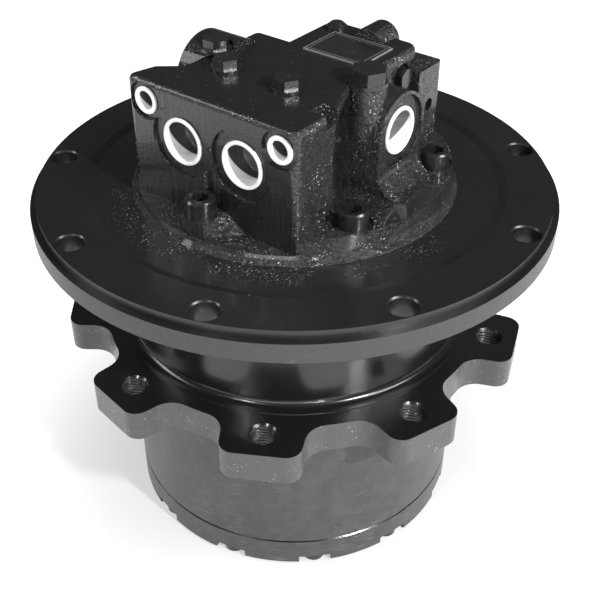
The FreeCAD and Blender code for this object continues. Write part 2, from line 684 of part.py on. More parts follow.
def hub():
    """The turning hub, with the lobed flange that the sprocket bolts to."""
    body = new_body("hub")
    spin(body, [
        (S.ring_bore_r, S.cover_thick),
        (S.hub_r - S.seam_bevel, S.cover_thick),
        (S.hub_r, S.cover_thick + S.seam_bevel),
        (S.hub_r, S.lobe_base),
        (S.lobe_valley_r, S.lobe_base),
        (S.lobe_valley_r, LOBE_TOP),
        (S.pilot_step_r, LOBE_TOP),
        (S.pilot_step_r, LOBE_TOP + S.pilot_step),
        (S.neck_r, LOBE_TOP + S.pilot_step),
        (S.neck_r, S.hub_top),
        (S.seal_bore_r, S.hub_top),
        (S.seal_bore_r, SEAL_FLOOR),
        (S.race_bore_r, SEAL_FLOOR),
        (S.race_bore_r, S.upper_race),
        (S.race_shoulder_r, S.upper_race),
        (S.race_shoulder_r, S.lower_race + S.race_wide),
        (S.race_bore_r, S.lower_race + S.race_wide),
        (S.race_bore_r, S.ring_top),
        (S.ring_bore_r, S.ring_top),
    ])
    sketch = new_sketch(body, "XY_Plane", S.lobe_base)
    sketch.AttachmentOffset = FreeCAD.Placement(
        FreeCAD.Vector(0, 0, float(S.lobe_base)),
        FreeCAD.Rotation(FreeCAD.Vector(0, 0, 1), float(S.lobe_phase)),
    )
    bind(sketch, "AttachmentOffset.Rotation.Angle", S.lobe_phase)
    foot = S.lobe_valley_r - 4
    draw_outline(sketch, [
        (foot, -S.lobe_foot_wide / 2),
        (S.lobe_tip_r, -S.lobe_tip_wide / 2),
        (S.lobe_tip_r, S.lobe_tip_wide / 2),
        (foot, S.lobe_foot_wide / 2),
    ])
    lobe = extrude(body, "Pad", sketch, S.lobe_thick)
    ring_pattern(body, [lobe], S.lobe_count)

    def far(edge):
        spot = edge.CenterOfMass
        return math.hypot(spot.x, spot.y)

    dress(body, "Fillet", S.lobe_tip_round,
          lambda edge: upright(edge) and far(edge) > float(S.sprocket_circle))
    dress(body, "Fillet", S.lobe_foot_round,
          lambda edge: upright(edge) and abs(far(edge) - float(S.lobe_valley_r)) < 1)
    neck_foot = float(LOBE_TOP + S.pilot_step)
    dress(body, "Fillet", S.neck_round,
          lambda edge: isinstance(edge.Curve, Part.Circle)
          and abs(edge.Curve.Radius - float(S.neck_r)) < 1e-3
          and abs(edge.CenterOfMass.z - neck_foot) < 1e-3)
    bevelled_holes(body, S.sprocket_hole_r, S.sprocket_hole_bevel, S.sprocket_circle,
                   S.lobe_phase, S.lobe_base, LOBE_TOP, S.lobe_count)
    bolt_holes(body, S.cover_screw_r, S.cover_screw_circle, S.cover_phase, S.cover_thick,
               S.cover_screw_grip, S.cover_screw_count)


def end_cover():
    """The cover that closes the gear end, dished inside, with open screw pockets."""
    body = new_body("end_cover")
    spigot_r = S.ring_bore_r - 0.1
    groove_r = S.ring_bore_r - S.cover_groove
    top = S.cover_thick + S.cover_spigot
    groove = S.cover_thick + 2.5 - S.cover_groove / 2
    spin(body, [
        (0, 0),
        (S.cover_edge_r - S.cover_bevel, 0),
        (S.cover_edge_r, S.cover_bevel),
        (S.cover_edge_r, S.cover_thick - S.seam_bevel),
        (S.cover_edge_r - S.seam_bevel, S.cover_thick),
        (spigot_r, S.cover_thick),
        (spigot_r, groove),
        (groove_r, groove),
        (groove_r, groove + S.cover_groove),
        (spigot_r, groove + S.cover_groove),
        (spigot_r, top),
        (S.cover_dish_r, top),
        (S.cover_dish_r - 6, S.cover_web),
        (0, S.cover_web),
    ])
    half = S.notch_wide / 2
    circle = S.cover_screw_circle
    pocket = rod(body, "Subtractive", half, S.notch_depth, (circle, 0, 0))
    mouth = slab(body, "Subtractive", (circle, -half, dim(0)),
                 (S.cover_edge_r + 5, half, S.notch_depth))
    hole = rod(body, "Subtractive", S.cover_screw_r + 0.2, S.cover_thick, (circle, 0, 0))
    ring_pattern(body, [pocket, mouth, hole], S.cover_screw_count)
    bolt_holes(body, S.cover_plug_r, S.cover_plug_circle, 0, 0, S.cover_web, 2)
    swing(body, S.cover_phase)


def gear_outline(teeth, play, inside=False):
    """A closed involute outline; inside gives the tooth spaces of a ring gear."""
    module = float(S.gear_module)
    pitch_r = module * float(teeth) / 2
    pressure = math.radians(float(S.gear_pressure))
    base_r = pitch_r * math.cos(pressure)
    over, under = float(S.gear_tip) * module, float(S.gear_root) * module
    low = pitch_r - (over if inside else under)
    high = pitch_r + (under if inside else over)
    sway = play / 4 if inside else -play / 4
    half = (math.pi * module / 4 + sway) / pitch_r + math.tan(pressure) - pressure

    def flank(radius):
        angle = math.acos(min(1.0, base_r / max(radius, base_r)))
        return half - (math.tan(angle) - angle)

    steps = [(low, flank(low)), (pitch_r, flank(pitch_r)), (high, flank(high))]
    spots = []
    for tooth in range(round(float(teeth))):
        middle = 2 * math.pi * tooth / float(teeth)
        sides = [(r, middle - a) for r, a in steps] + [(r, middle + a) for r, a in reversed(steps)]
        spots += [FreeCAD.Vector(r * math.cos(a), r * math.sin(a), 0) for r, a in sides]
    return Part.Face(Part.makePolygon(spots + spots[:1]))


def gear_blank(teeth, foot, wide, bore):
    """A spur gear round Z with a plain bore."""
    face = gear_outline(teeth, float(S.gear_backlash))
    gear = face.extrude(FreeCAD.Vector(0, 0, float(wide)))
    hole = Part.makeCylinder(float(bore), float(wide))
    gear = gear.cut(hole)
    gear.translate(FreeCAD.Vector(0, 0, float(foot)))
    return gear


def ring_gear():
    """The internal ring gear that both stages share, pressed into the hub."""
    wide = float(S.ring_top - S.ring_foot)
    blank = Part.makeCylinder(float(S.ring_bore_r), wide)
    spaces = gear_outline(S.ring_teeth, float(S.gear_backlash), inside=True)
    ring = blank.cut(spaces.extrude(FreeCAD.Vector(0, 0, wide)))
    ring.translate(FreeCAD.Vector(0, 0, float(S.ring_foot)))
    own_shape("ring_gear", ring)


def planets(stage, teeth, circle, foot, wide, pin_r):
    """The planets of one stage, each turned about Z to its pin."""
    gear = gear_blank(teeth, foot, wide, pin_r + S.running_gap)
    gear.translate(FreeCAD.Vector(float(circle), 0, 0))
    for index in range(round(float(S.planet_count))):
        copy = gear.copy()
        angle = 360 * index / float(S.planet_count)
        copy.rotate(FreeCAD.Vector(), FreeCAD.Vector(0, 0, 1), angle)
        own_shape(f"{stage}_planet_{index + 1}", copy)


def suns():
    """The two sun gears; the second has a plain hub inside the first carrier."""
    wide = S.stage_a_wide + 1.5
    gear = gear_blank(S.sun_a_teeth, S.stage_a_foot - 1, wide, S.shaft_end_r)
    gear.rotate(FreeCAD.Vector(), FreeCAD.Vector(0, 0, 1), 180 / float(S.sun_a_teeth))
    own_shape("first_stage_sun", gear)
    foot = PLATE_A_TOP + 1.5
    wide = S.stage_b_foot + S.stage_b_wide + 1.5 - foot
    bore = S.shaft_r + 2
    gear = gear_blank(S.sun_b_teeth, foot, wide, bore)
    collar = Part.makeCylinder(float(S.carrier_bore_r), float(foot - S.carrier_foot),
                               FreeCAD.Vector(0, 0, float(S.carrier_foot)))
    hole = Part.makeCylinder(float(bore), float(S.stage_b_foot))
    own_shape("second_stage_sun", gear.fuse(collar.cut(hole)).removeSplitter())


def first_stage_carrier():
    """The plate that holds the first planets and drives the second sun."""
    body = new_body("first_stage_carrier")
    spin(body, [
        (S.carrier_bore_r, S.carrier_foot),
        (S.carrier_r, S.carrier_foot),
        (S.carrier_r, PLATE_A_TOP),
        (S.carrier_bore_r, PLATE_A_TOP),
    ])
    foot = S.stage_a_foot + S.stage_a_wide + S.side_gap
    boss = rod(body, "Additive", S.pin_a_head_r, S.carrier_foot - foot + 1, (CIRCLE_A, 0, foot))
    ring_pattern(body, [boss], S.planet_count)
    bolt_holes(body, S.pin_a_r, CIRCLE_A, 0, foot, PLATE_A_TOP - foot, S.planet_count)
    bolt_holes(body, S.carrier_r / 4, S.carrier_r, 60, S.carrier_foot, S.carrier_thick, S.planet_count)


def planet_pins():
    """Headed pins: the first set in the carrier, the second in the spindle's end."""
    for name, circle, radius, head_r, foot, top in (
        ("first_stage_pins", CIRCLE_A, S.pin_a_r, S.pin_a_head_r, PIN_A_FOOT, PLATE_A_TOP),
        ("second_stage_pins", CIRCLE_B, S.pin_b_r, S.pin_b_head_r, PIN_B_FOOT, PIN_B_TOP),
    ):
        pin = new_body(name[:-1], node=False)
        rod(pin, "Additive", radius, top - foot, (circle, 0, foot))
        rod(pin, "Additive", head_r, S.pin_head, (circle, 0, foot - S.pin_head))
        group(name, pin, S.planet_count)


def cover_pieces():
    """Screws, oil plugs, ring seal and thrust pad of the end cover."""
    screw = new_body("cover_screw", node=False)
    seat_height = S.notch_depth
    head_foot = seat_height - S.cover_head
    rod(screw, "Additive", S.cover_screw_r, S.cover_thick + S.cover_screw_grip - seat_height,
        (S.cover_screw_circle, 0, seat_height))
    rod(screw, "Additive", S.cover_head_r, S.cover_head, (S.cover_screw_circle, 0, head_foot))
    hexagon(screw, "Subtractive", S.cover_screw_r * 0.9, S.cover_head / 2,
            (S.cover_screw_circle, 0, head_foot))
    group("cover_screws", screw, S.cover_screw_count, S.cover_phase)
    plug = new_body("cover_oil_plug", node=False)
    rod(plug, "Additive", S.cover_plug_r, S.cover_web - 1, (S.cover_plug_circle, 0, 1))
    hexagon(plug, "Subtractive", S.cover_plug_r * 0.6, 6, (S.cover_plug_circle, 0, 1))
    group("cover_oil_plugs", plug, 2, S.cover_phase)
    round_ring("cover_ring_seal", S.ring_bore_r - S.cover_groove / 2, S.cover_thick + 2.5,
               S.cover_groove / 2)
    ring_body("thrust_pad", 0, S.pad_r, S.cover_web, S.stage_a_foot - 1 - S.side_gap)


def tapered_race(foot, flip, inner):
    """One race of a main bearing, its raceway leaning as the rollers lean."""
    middle = foot + S.race_wide / 2
    lean = S.roller_tilt - S.roller_taper if inner else S.roller_tilt + S.roller_taper
    rise = S.race_wide / 2
    reach = S.roller_r / turned_by(1, lean, "cos") + S.running_gap
    slope = turned_by(1, lean, "sin") / turned_by(1, lean, "cos")
    mean = S.roller_pitch_r - reach if inner else S.roller_pitch_r + reach
    back = S.spindle_r if inner else S.race_bore_r
    return turned_body("bearing_race", [
        (back, middle - rise),
        (back, middle + rise),
        (mean + flip * slope * rise, middle + rise),
        (mean - flip * slope * rise, middle - rise),
    ], node=False)


def roller(foot, flip):
    """One tapered roller of a main bearing, leaning outward toward its large end."""
    half = float(S.roller_long) / 2
    spread = half * math.tan(math.radians(float(S.roller_taper)))
    mean = float(S.roller_r)
    shape = Part.makeCone(mean - spread, mean + spread, 2 * half)
    shape.translate(FreeCAD.Vector(0, 0, -half))
    if flip < 0:
        shape.rotate(FreeCAD.Vector(), FreeCAD.Vector(1, 0, 0), 180)
    shape.rotate(FreeCAD.Vector(), FreeCAD.Vector(0, 1, 0), flip * float(S.roller_tilt))
    middle = foot + S.race_wide / 2
    shape.translate(FreeCAD.Vector(float(S.roller_pitch_r), 0, float(middle)))
    return shape


def roller_cage(foot, flip):
    """A conical cage with a window round each roller."""
    middle = float(foot + S.race_wide / 2)
    rise = float(S.roller_long) / 2 + 1.5
    slope = flip * math.tan(math.radians(float(S.roller_tilt)))
    mean = float(S.roller_pitch_r)
    half = 0.9
    corners = [
        (mean - slope * rise - half, middle - rise),
        (mean - slope * rise + half, middle - rise),
        (mean + slope * rise + half, middle + rise),
        (mean + slope * rise - half, middle + rise),
    ]
    spots = [FreeCAD.Vector(r, 0, z) for r, z in corners]
    cage = Part.Face(Part.makePolygon(spots + spots[:1]))
    cage = cage.revolve(FreeCAD.Vector(), FreeCAD.Vector(0, 0, 1), 360)
    large_r = float(S.roller_r) + float(S.roller_long) / 2 * math.tan(math.radians(float(S.roller_taper)))
    long, wide = float(S.roller_long) + 0.3, 2 * large_r + 0.3
    window = Part.makeBox(8, wide, long, FreeCAD.Vector(-4, -wide / 2, -long / 2))
    window.rotate(FreeCAD.Vector(), FreeCAD.Vector(0, 1, 0), flip * float(S.roller_tilt))
    window.translate(FreeCAD.Vector(mean, 0, middle))
    return cage.cut(around(window, S.roller_count))


def main_bearings():
    """Two tapered roller bearings back to back, and the nut that clamps them."""
    rows = ((S.lower_race, -1), (S.upper_race, 1))
    for name, inner in (("bearing_inner_races", True), ("bearing_outer_races", False)):
        races = [tapered_race(foot, flip, inner) for foot, flip in rows]
        doc.recompute()
        both(name, [race.Shape for race in races])
    rollers = [around(roller(foot, flip), S.roller_count).Solids for foot, flip in rows]
    both("bearing_rollers", rollers[0] + rollers[1])
    both("roller_cages", [roller_cage(foot, flip) for foot, flip in rows])
    nut = ring_body("bearing_nut", S.spindle_end_r, S.nut_r, NUT_FOOT, S.lower_race)
    notch = slab(nut, "Subtractive", (S.nut_r - 4, dim(-4), NUT_FOOT),
                 (S.nut_r + 1, dim(4), S.lower_race))
    ring_pattern(nut, [notch], 6)


def face_seal():
    """Two lapped metal rings, each carried by a rubber ring in its housing."""
    for place, flip in (("lower", -1), ("upper", 1)):
        meet = S.hub_top + (0.05 if flip > 0 else 0)
        turned_body(f"{place}_seal_ring", [
            (S.seal_inner_r, meet),
            (S.seal_face_r, meet),
            (S.seal_face_r, meet + flip * 2),
            (S.seal_back_r, meet + flip * 2.6),
            (S.seal_back_r, meet + flip * S.seal_ring),
            (S.seal_inner_r, meet + flip * S.seal_ring),
        ])
        round_ring(f"{place}_seal_rubber", (S.seal_back_r + S.seal_bore_r) / 2,
                   S.hub_top + flip * (3 + S.seal_rubber_r), S.seal_rubber_r)


def drive_shaft():
    """The stepped shaft from the cylinder block down to the first sun, and its seal."""
    sun_top = S.stage_a_foot + S.stage_a_wide + 1
    seat_foot = S.stage_b_foot + S.stage_b_wide + 2
    turned_body("drive_shaft", [
        (0, S.stage_a_foot),
        (S.shaft_end_r, S.stage_a_foot),
        (S.shaft_end_r, sun_top),
        (S.shaft_r, sun_top),
        (S.shaft_r, seat_foot),
        (S.shaft_seat_r, seat_foot),
        (S.shaft_seat_r, BEARING_TOP),
        (S.shaft_block_r, BEARING_TOP),
        (S.shaft_block_r, S.block_top),
        (S.shaft_top_r, S.block_top),
        (S.shaft_top_r, S.shaft_top - 1),
        (S.shaft_top_r - 1, S.shaft_top),
        (0, S.shaft_top),
    ])
    ring_body("shaft_seal", S.shaft_seat_r + S.running_gap, S.end_bore_r,
              S.spindle_foot + 0.3, S.bearing_foot)


def shaft_bearings():
    """A roller bearing under the motor and a plain bush in the port block."""
    reach = S.needle_r + S.running_gap
    ring_body("shaft_bearing_inner", S.shaft_seat_r, NEEDLE_CIRCLE - reach, S.bearing_foot, BEARING_TOP)
    ring_body("shaft_bearing_outer", NEEDLE_CIRCLE + reach, S.end_bore_r, S.bearing_foot, BEARING_TOP)
    needle = new_body("shaft_bearing_needle", node=False)
    rod(needle, "Additive", S.needle_r, S.bearing_wide - 2, (NEEDLE_CIRCLE, 0, S.bearing_foot + 1))
    group("shaft_bearing_rollers", needle, S.needle_count)
    ring_body("upper_shaft_bush", S.shaft_top_r + S.running_gap, S.bush_r,
              S.spigot_foot + 2, S.shaft_top - 1)


def motor_rotor():
    """Cylinder block, pistons, their shoes and the plate that holds the shoes down."""
    block = ring_body("cylinder_block", S.shaft_block_r, S.block_r, S.block_foot, S.block_top)
    bore = rod(block, "Subtractive", S.piston_r + 0.02, S.block_top - 12 - S.block_foot,
               (S.piston_circle, 0, S.block_foot))
    gate = rod(block, "Subtractive", S.piston_r / 2, S.block_top - S.block_foot,
               (S.piston_circle, 0, S.block_foot))
    ring_pattern(block, [bore, gate], S.piston_count)
    spot = (S.piston_circle, 0)
    shoe = new_body("piston_shoe", node=False)
    base_top = SHOE_FOOT + 2.5
    foot = SHOE_FOOT + S.running_gap
    rod(shoe, "Additive", S.shoe_r, base_top - foot, (*spot, foot))
    rod(shoe, "Additive", S.piston_r - 0.8, BALL_HEIGHT + 1 - base_top, (*spot, base_top))
    rod(shoe, "Subtractive", S.piston_r - 2.3, BALL_HEIGHT + 1 - base_top, (*spot, base_top + 0.4))
    group("piston_shoes", shoe, S.piston_count)
    piston = new_body("piston", node=False)
    ball_r = S.piston_r - 2.4
    for low in (-60, -30, 0, 30):
        rise = turned_by(ball_r, low + 30, "sin") - turned_by(ball_r, low, "sin")
        cone(piston, "Additive", turned_by(ball_r, low, "cos"), turned_by(ball_r, low + 30, "cos"),
             rise, (*spot, BALL_HEIGHT + turned_by(ball_r, low, "sin")))
    rod(piston, "Additive", S.piston_r - 4, S.block_foot + 4 - BALL_HEIGHT, (*spot, BALL_HEIGHT))
    rod(piston, "Additive", S.piston_r, S.piston_top - S.block_foot - 3, (*spot, S.block_foot + 3))
    rod(piston, "Subtractive", S.piston_r - 3, S.piston_top - S.block_foot - 12,
        (*spot, S.block_foot + 12))
    group("pistons", piston, S.piston_count)
    plate = ring_body("shoe_retainer", S.shaft_block_r, S.block_r - 1, base_top + 0.1, base_top + 2.1)
    bolt_holes(plate, S.piston_r - 0.6, S.piston_circle, 0, base_top + 0.1, 2, S.piston_count)


def swash_plate():
    """The plate that the piston shoes slide on, drawn without tilt, and its pistons."""
    ring_body("swash_plate", S.shaft_block_r + 2, S.swash_r, S.spindle_floor, SHOE_FOOT)
    piston = new_body("speed_piston", node=False)
    foot = S.spindle_foot + 7
    y = S.speed_piston_circle
    rod(piston, "Additive", S.speed_piston_r - 0.02, S.spindle_floor - foot, (0, y, foot))
    rod(piston, "Subtractive", S.speed_piston_r - 2.5, S.spindle_floor - foot - 4, (0, y, foot))
    group("speed_pistons", piston, 2)


def brake():
    """The parking brake: two lined discs between steel plates, piston and disc springs."""
    foot = S.brake_height
    step = S.brake_disc + 0.1
    for name, inner, outer, low in (
        ("brake_steel_plates", S.block_r + 1.5, S.cavity_r, foot),
        ("brake_lined_discs", S.block_r, S.ledge_r - 1, foot + step),
    ):
        disc = ring_body(name[:-1], inner, outer, low, low + S.brake_disc, node=False)
        doc.recompute()
        second = disc.Shape.copy()
        second.translate(FreeCAD.Vector(0, 0, 2 * float(step)))
        both(name, [disc.Shape, second])
    piston_foot = foot + 4 * step
    waist = piston_foot + 20
    turned_body("brake_piston", [
        (S.block_r + 1.5, piston_foot),
        (S.ledge_r + 1, piston_foot),
        (S.ledge_r + 1, waist),
        (S.cavity_r - S.running_gap, waist),
        (S.cavity_r - S.running_gap, S.brake_piston_top),
        (S.block_r + 1.5, S.brake_piston_top),
    ])
    spring = new_body("brake_spring", node=False)
    thick = S.brake_spring_thick
    high = (S.spigot_foot - S.brake_piston_top) / 2
    inner, outer = S.block_r + 2, S.cavity_r - 0.5
    spin(spring, [
        (inner, S.brake_piston_top),
        (outer, S.brake_piston_top + high - thick),
        (outer, S.brake_piston_top + high),
        (inner, S.brake_piston_top + thick),
    ])
    doc.recompute()
    other = spring.Shape.mirror(
        FreeCAD.Vector(0, 0, float(S.brake_piston_top + high)), FreeCAD.Vector(0, 0, 1))
    both("brake_springs", [spring.Shape, other])


def valve_plate():
    """The pinned plate with the ports that feed the cylinder block."""
    foot = S.spigot_foot - S.valve_plate
    plate = ring_body("valve_plate", S.shaft_block_r + 1, S.block_r - 2, foot, S.spigot_foot)
    bolt_holes(plate, S.piston_r / 2, S.piston_circle, 22.5, foot, S.valve_plate, 8)


def main_block(body):
    """The port head, the waist behind it and the rear body, up to the top face."""
    top = S.block_high
    sketch = new_sketch(body, "XY_Plane", FLOOR)
    draw_outline(sketch, [
        (-S.block_left, FRONT),
        (S.block_right, FRONT),
        (S.block_right, S.side_plug_y),
        (S.rear_right, S.side_plug_y + S.side_plug_hex_r),
        (S.rear_right, S.block_back),
        (-S.waist_left, S.block_back),
        (-S.waist_left, -S.waist_front),
        (-S.head_left, -S.head_back),
    ])
    extrude(body, "Pad", sketch, top - FLOOR)
    dress(body, "Fillet", S.block_round, upright)
    slab(body, "Additive", (S.rear_left, S.block_back - 7, FLOOR), (S.rear_right, S.rear_back, top))
    dress(body, "Fillet", S.rear_round,
          lambda edge: upright(edge) and edge.CenterOfMass.y > float(S.rear_back) - 1)


def side_valley(body):
    """The valley between the port head and the side port's column, leaning at its top."""
    near = S.side_back - S.side_boss_r
    front_x = S.block_right + 1
    turn_x = (front_x + S.valley_foot) / 2
    turn_y = (S.valley_front + near) / 2
    foot = [
        (front_x, S.valley_front),
        (front_x, near),
        (S.valley_foot, near),
        (turn_x, turn_y),
    ]
    rim = [
        (front_x, S.valley_front + 2.5),
        (front_x, near),
        (S.valley_rim, near),
        (S.valley_bend, S.valley_bend_y),
    ]
    sketch = new_sketch(body, "XY_Plane", FLOOR)
    draw_outline(sketch, foot)
    extrude(body, "Pocket", sketch, S.valley_turn - FLOOR)
    loft(body, "Subtractive", foot, rim, S.valley_turn, S.block_high)


def round_base(body):
    """The round foot with its cast fillet, the low front and the front screw's pad."""
    rod(body, "Additive", S.base_r, S.base_top - FLOOR, (0, 0, FLOOR))
    lip = S.base_flare / 2
    cone(body, "Additive", S.base_r + S.base_flare, S.base_r + lip / 2, lip, (0, 0, FLOOR))
    cone(body, "Additive", S.base_r + lip / 2, S.base_r - lip / 4, S.base_flare, (0, 0, FLOOR + lip))
    wide = S.base_r + S.base_flare + 1
    slab(body, "Subtractive", (-wide, -wide, S.plinth_top), (wide, FRONT, S.base_top + 1))
    slab(body, "Additive", (-S.pad_half, -S.pad_front, FLOOR), (S.pad_half, FRONT + 5, S.base_seat))
    inside = S.pad_half - 1
    back = FRONT + 2
    loft(body, "Additive",
         [(inside, -S.pad_front), (S.web_right, back), (inside, back)],
         [(inside, back - 3), (S.pad_half + 1, back), (inside, back)],
         S.plinth_top - 1, S.base_seat)


def block_casting(body):
    """The outside of the port block: head, rear body, round base, shelf and bosses."""
    top = S.block_high
    main_block(body)
    side_valley(body)

    def round_top(edge):
        flat = all(abs(v.Point.z - float(top)) < 1e-6 for v in edge.Vertexes)
        return flat and edge.CenterOfMass.y > float(FRONT) + 1

    dress(body, "Fillet", S.top_round, round_top)
    round_base(body)
    slab(body, "Additive", (S.shelf_left, S.block_back, FLOOR),
         (S.rear_right, S.shelf_back, S.shelf_top))
    slab(body, "Additive", (dim(0), S.shelf_front, FLOOR),
         (S.shelf_right, S.shelf_back, S.shelf_top))
    dress(body, "Fillet", S.shelf_round,
          lambda edge: upright(edge) and edge.CenterOfMass.y > float(S.shelf_back) - 1)
    near = S.side_back - S.side_boss_r
    far = S.side_back + S.side_boss_r
    cove_top = S.base_top + S.cove_r
    slab(body, "Additive", (dim(0), near, FLOOR), (S.side_face + S.cove_r, far, cove_top))
    rod(body, "Subtractive", S.cove_r, far - near,
        (S.side_face + S.cove_r, far, cove_top + S.side_gap), "front")
    slab(body, "Additive", (dim(0), near, FLOOR), (S.side_face, far, S.port_height))
    rod(body, "Additive", S.side_boss_r, S.side_face, (0, S.side_back, S.port_height), "right")
    rod(body, "Additive", S.side_plug_hex_r, top - S.port_height,
        (S.side_plug_x, S.side_plug_y, S.port_height))
    slab(body, "Subtractive", (S.notch_x, S.notch_front, S.notch_floor),
         (S.block_right + 1, S.notch_back, top + 1))
    rod(body, "Additive", S.left_boss_r, S.left_boss_long,
        (S.left_boss_end, S.left_boss_y, S.left_boss_height), "right")
    slab(body, "Additive", (S.rear_boss_x - S.rear_boss_r, S.rear_boss_end - S.rear_boss_long, FLOOR),
         (S.rear_boss_x + S.rear_boss_r, S.rear_boss_end, S.rear_boss_height))
    rod(body, "Additive", S.rear_boss_r, S.rear_boss_long,
        (S.rear_boss_x, S.rear_boss_end, S.rear_boss_height), "front")
    rod(body, "Additive", S.cavity_r - 0.05, FLOOR - S.spigot_foot + 1, (0, 0, S.spigot_foot))


def bore_in(body, radius, depth, x, y, z, aim):
    """A bore cut into the block from one of its faces."""
    return rod(body, "Subtractive", radius, depth, (x, y, z), aim)


def port_block():
    """The cast block on the round base, with its ports, bores and screw pockets."""
    body = new_body("motor_port_block")
    block_casting(body)
    top = S.block_high
    bolt_holes(body, S.pocket_r, S.base_screw_circle, S.base_screw_phase, S.base_seat,
               2 * S.pocket_r, S.base_screw_count)
    bolt_holes(body, S.base_screw_r + 0.4, S.base_screw_circle, S.base_screw_phase, FLOOR,
               S.base_seat - FLOOR, S.base_screw_count)
    for side in (-1, 1):
        x = side * S.port_spread
        bore_in(body, S.port_spot_r, S.spot_deep, x, FRONT, S.port_height, "back")
        bore_in(body, S.port_r, S.port_deep, x, FRONT, S.port_height, "back")
        x = side * S.pilot_spread
        bore_in(body, S.pilot_spot_r, S.spot_deep, x, FRONT, S.pilot_height, "back")
        bore_in(body, S.pilot_r, S.pilot_deep, x, FRONT, S.pilot_height, "back")
        bore_in(body, S.hex_shank_r, S.hex_shank, side * S.top_plug_x, S.top_plug_y, top, "down")
    bore_in(body, S.port_spot_r, S.spot_deep, S.side_face, S.side_back, S.port_height, "left")
    bore_in(body, S.port_r, S.port_deep, S.side_face, S.side_back, S.port_height, "left")
    bore_in(body, S.hex_collar_r + 0.6, S.left_boss_r, S.left_plug_x, S.left_plug_y,
            S.left_plug_seat + S.left_boss_r, "down")
    bore_in(body, S.hex_shank_r, S.hex_shank, S.left_plug_x, S.left_plug_y, S.left_plug_seat, "down")
    bore_in(body, S.hex_shank_r, S.hex_shank, S.dome_plug_x, S.dome_plug_y, top, "down")
    bore_in(body, S.side_plug_r, S.hex_shank, S.side_plug_x, S.side_plug_y, top, "down")
    bore_in(body, S.face_spot_r, S.face_spot, S.rear_right, S.face_plug_y, S.face_plug_height, "left")
    bore_in(body, S.hex_shank_r, S.hex_shank, S.rear_right - S.face_spot, S.face_plug_y,
            S.face_plug_height, "left")
    bore_in(body, S.relief_r, S.relief_long, S.left_boss_end, S.left_boss_y, S.left_boss_height, "right")
    bore_in(body, S.relief_r, S.relief_long, S.rear_boss_x, S.rear_boss_end, S.rear_boss_height, "front")
    bore_in(body, S.face_hole_r, S.face_hole, S.rear_right, S.face_hole_y, S.face_hole_height, "left")
    bore_in(body, S.spool_r + 0.05, S.shelf_right - S.shelf_left - S.spool_wall, S.shelf_right,
            S.spool_back, SPOOL_HEIGHT, "left")
    bore_in(body, S.spool_plug_r, S.spool_plug, S.shelf_right, S.spool_back, SPOOL_HEIGHT, "left")
    bore_in(body, S.bush_r, S.shaft_top + 2 - S.spigot_foot, dim(0), dim(0), S.spigot_foot, "up")


def base_screws():
    """Six socket screws that hold the port block on the frame flange."""
    screw = new_body("base_screw", node=False)
    x = turned_by(S.base_screw_circle, S.base_screw_phase, "cos")
    y = turned_by(S.base_screw_circle, S.base_screw_phase, "sin")
    head_top = S.base_seat + S.base_head
    rod(screw, "Additive", S.base_screw_r, S.base_seat - S.base_screw_foot, (x, y, S.base_screw_foot))
    rod(screw, "Additive", S.base_head_r, S.base_head, (x, y, S.base_seat))
    dress(screw, "Chamfer", S.base_head_r / 9,
          lambda edge: isinstance(edge.Curve, Part.Circle)
          and abs(edge.CenterOfMass.z - float(head_top)) < 1e-6)
    hexagon(screw, "Subtractive", S.base_screw_r * 0.95, S.base_head / 2, (x, y, head_top), "down")
    group("base_screws", screw, S.base_screw_count)


def cap(name, spot, aim, rim_r, bore_r, deep, face_step):
    """A soft cap pushed into a port: a rim on the spot face and a hollow cup behind it."""
    body = new_body(name)
    back = {"back": (0, 1, 0), "left": (-1, 0, 0)}[aim]
    seat_at = tuple(value + way * face_step for value, way in zip(spot, back))
    rim_at = tuple(value - way * S.cap_rim for value, way in zip(seat_at, back))
    rod(body, "Additive", rim_r, S.cap_rim, rim_at, aim)
    rod(body, "Additive", bore_r - S.cap_fit, deep, seat_at, aim)
    rod(body, "Subtractive", bore_r - S.cap_fit - S.cap_wall, deep + S.cap_rim - S.cap_wall, rim_at, aim)
    return body


def port_caps():
    """The five caps: four on the port face and one on the side port."""
    for place, side in (("left", -1), ("right", 1)):
        spot = (side * S.port_spread, FRONT, S.port_height)
        cap(f"{place}_main_port_cap", spot, "back", S.cap_r, S.port_r, S.cap_deep, S.spot_deep)
        spot = (side * S.pilot_spread, FRONT, S.pilot_height)
        cap(f"{place}_small_port_cap", spot, "back", S.pilot_cap_r, S.pilot_r, S.pilot_cap_deep,
            S.spot_deep)
    spot = (S.side_face, S.side_back, S.port_height)
    cap("side_port_cap", spot, "left", S.cap_r, S.port_r, S.cap_deep, S.spot_deep)


def hex_plug(body, spot, hex_r, hex_high, collar_r, shank_r):
    """A hexagon-headed screw plug standing on the point spot."""
    x, y, z = spot
    rod(body, "Additive", shank_r, S.hex_shank, (x, y, z - S.hex_shank))
    rod(body, "Additive", collar_r, S.hex_collar, spot)
    hexagon(body, "Additive", hex_r, hex_high, (x, y, z + S.hex_collar))


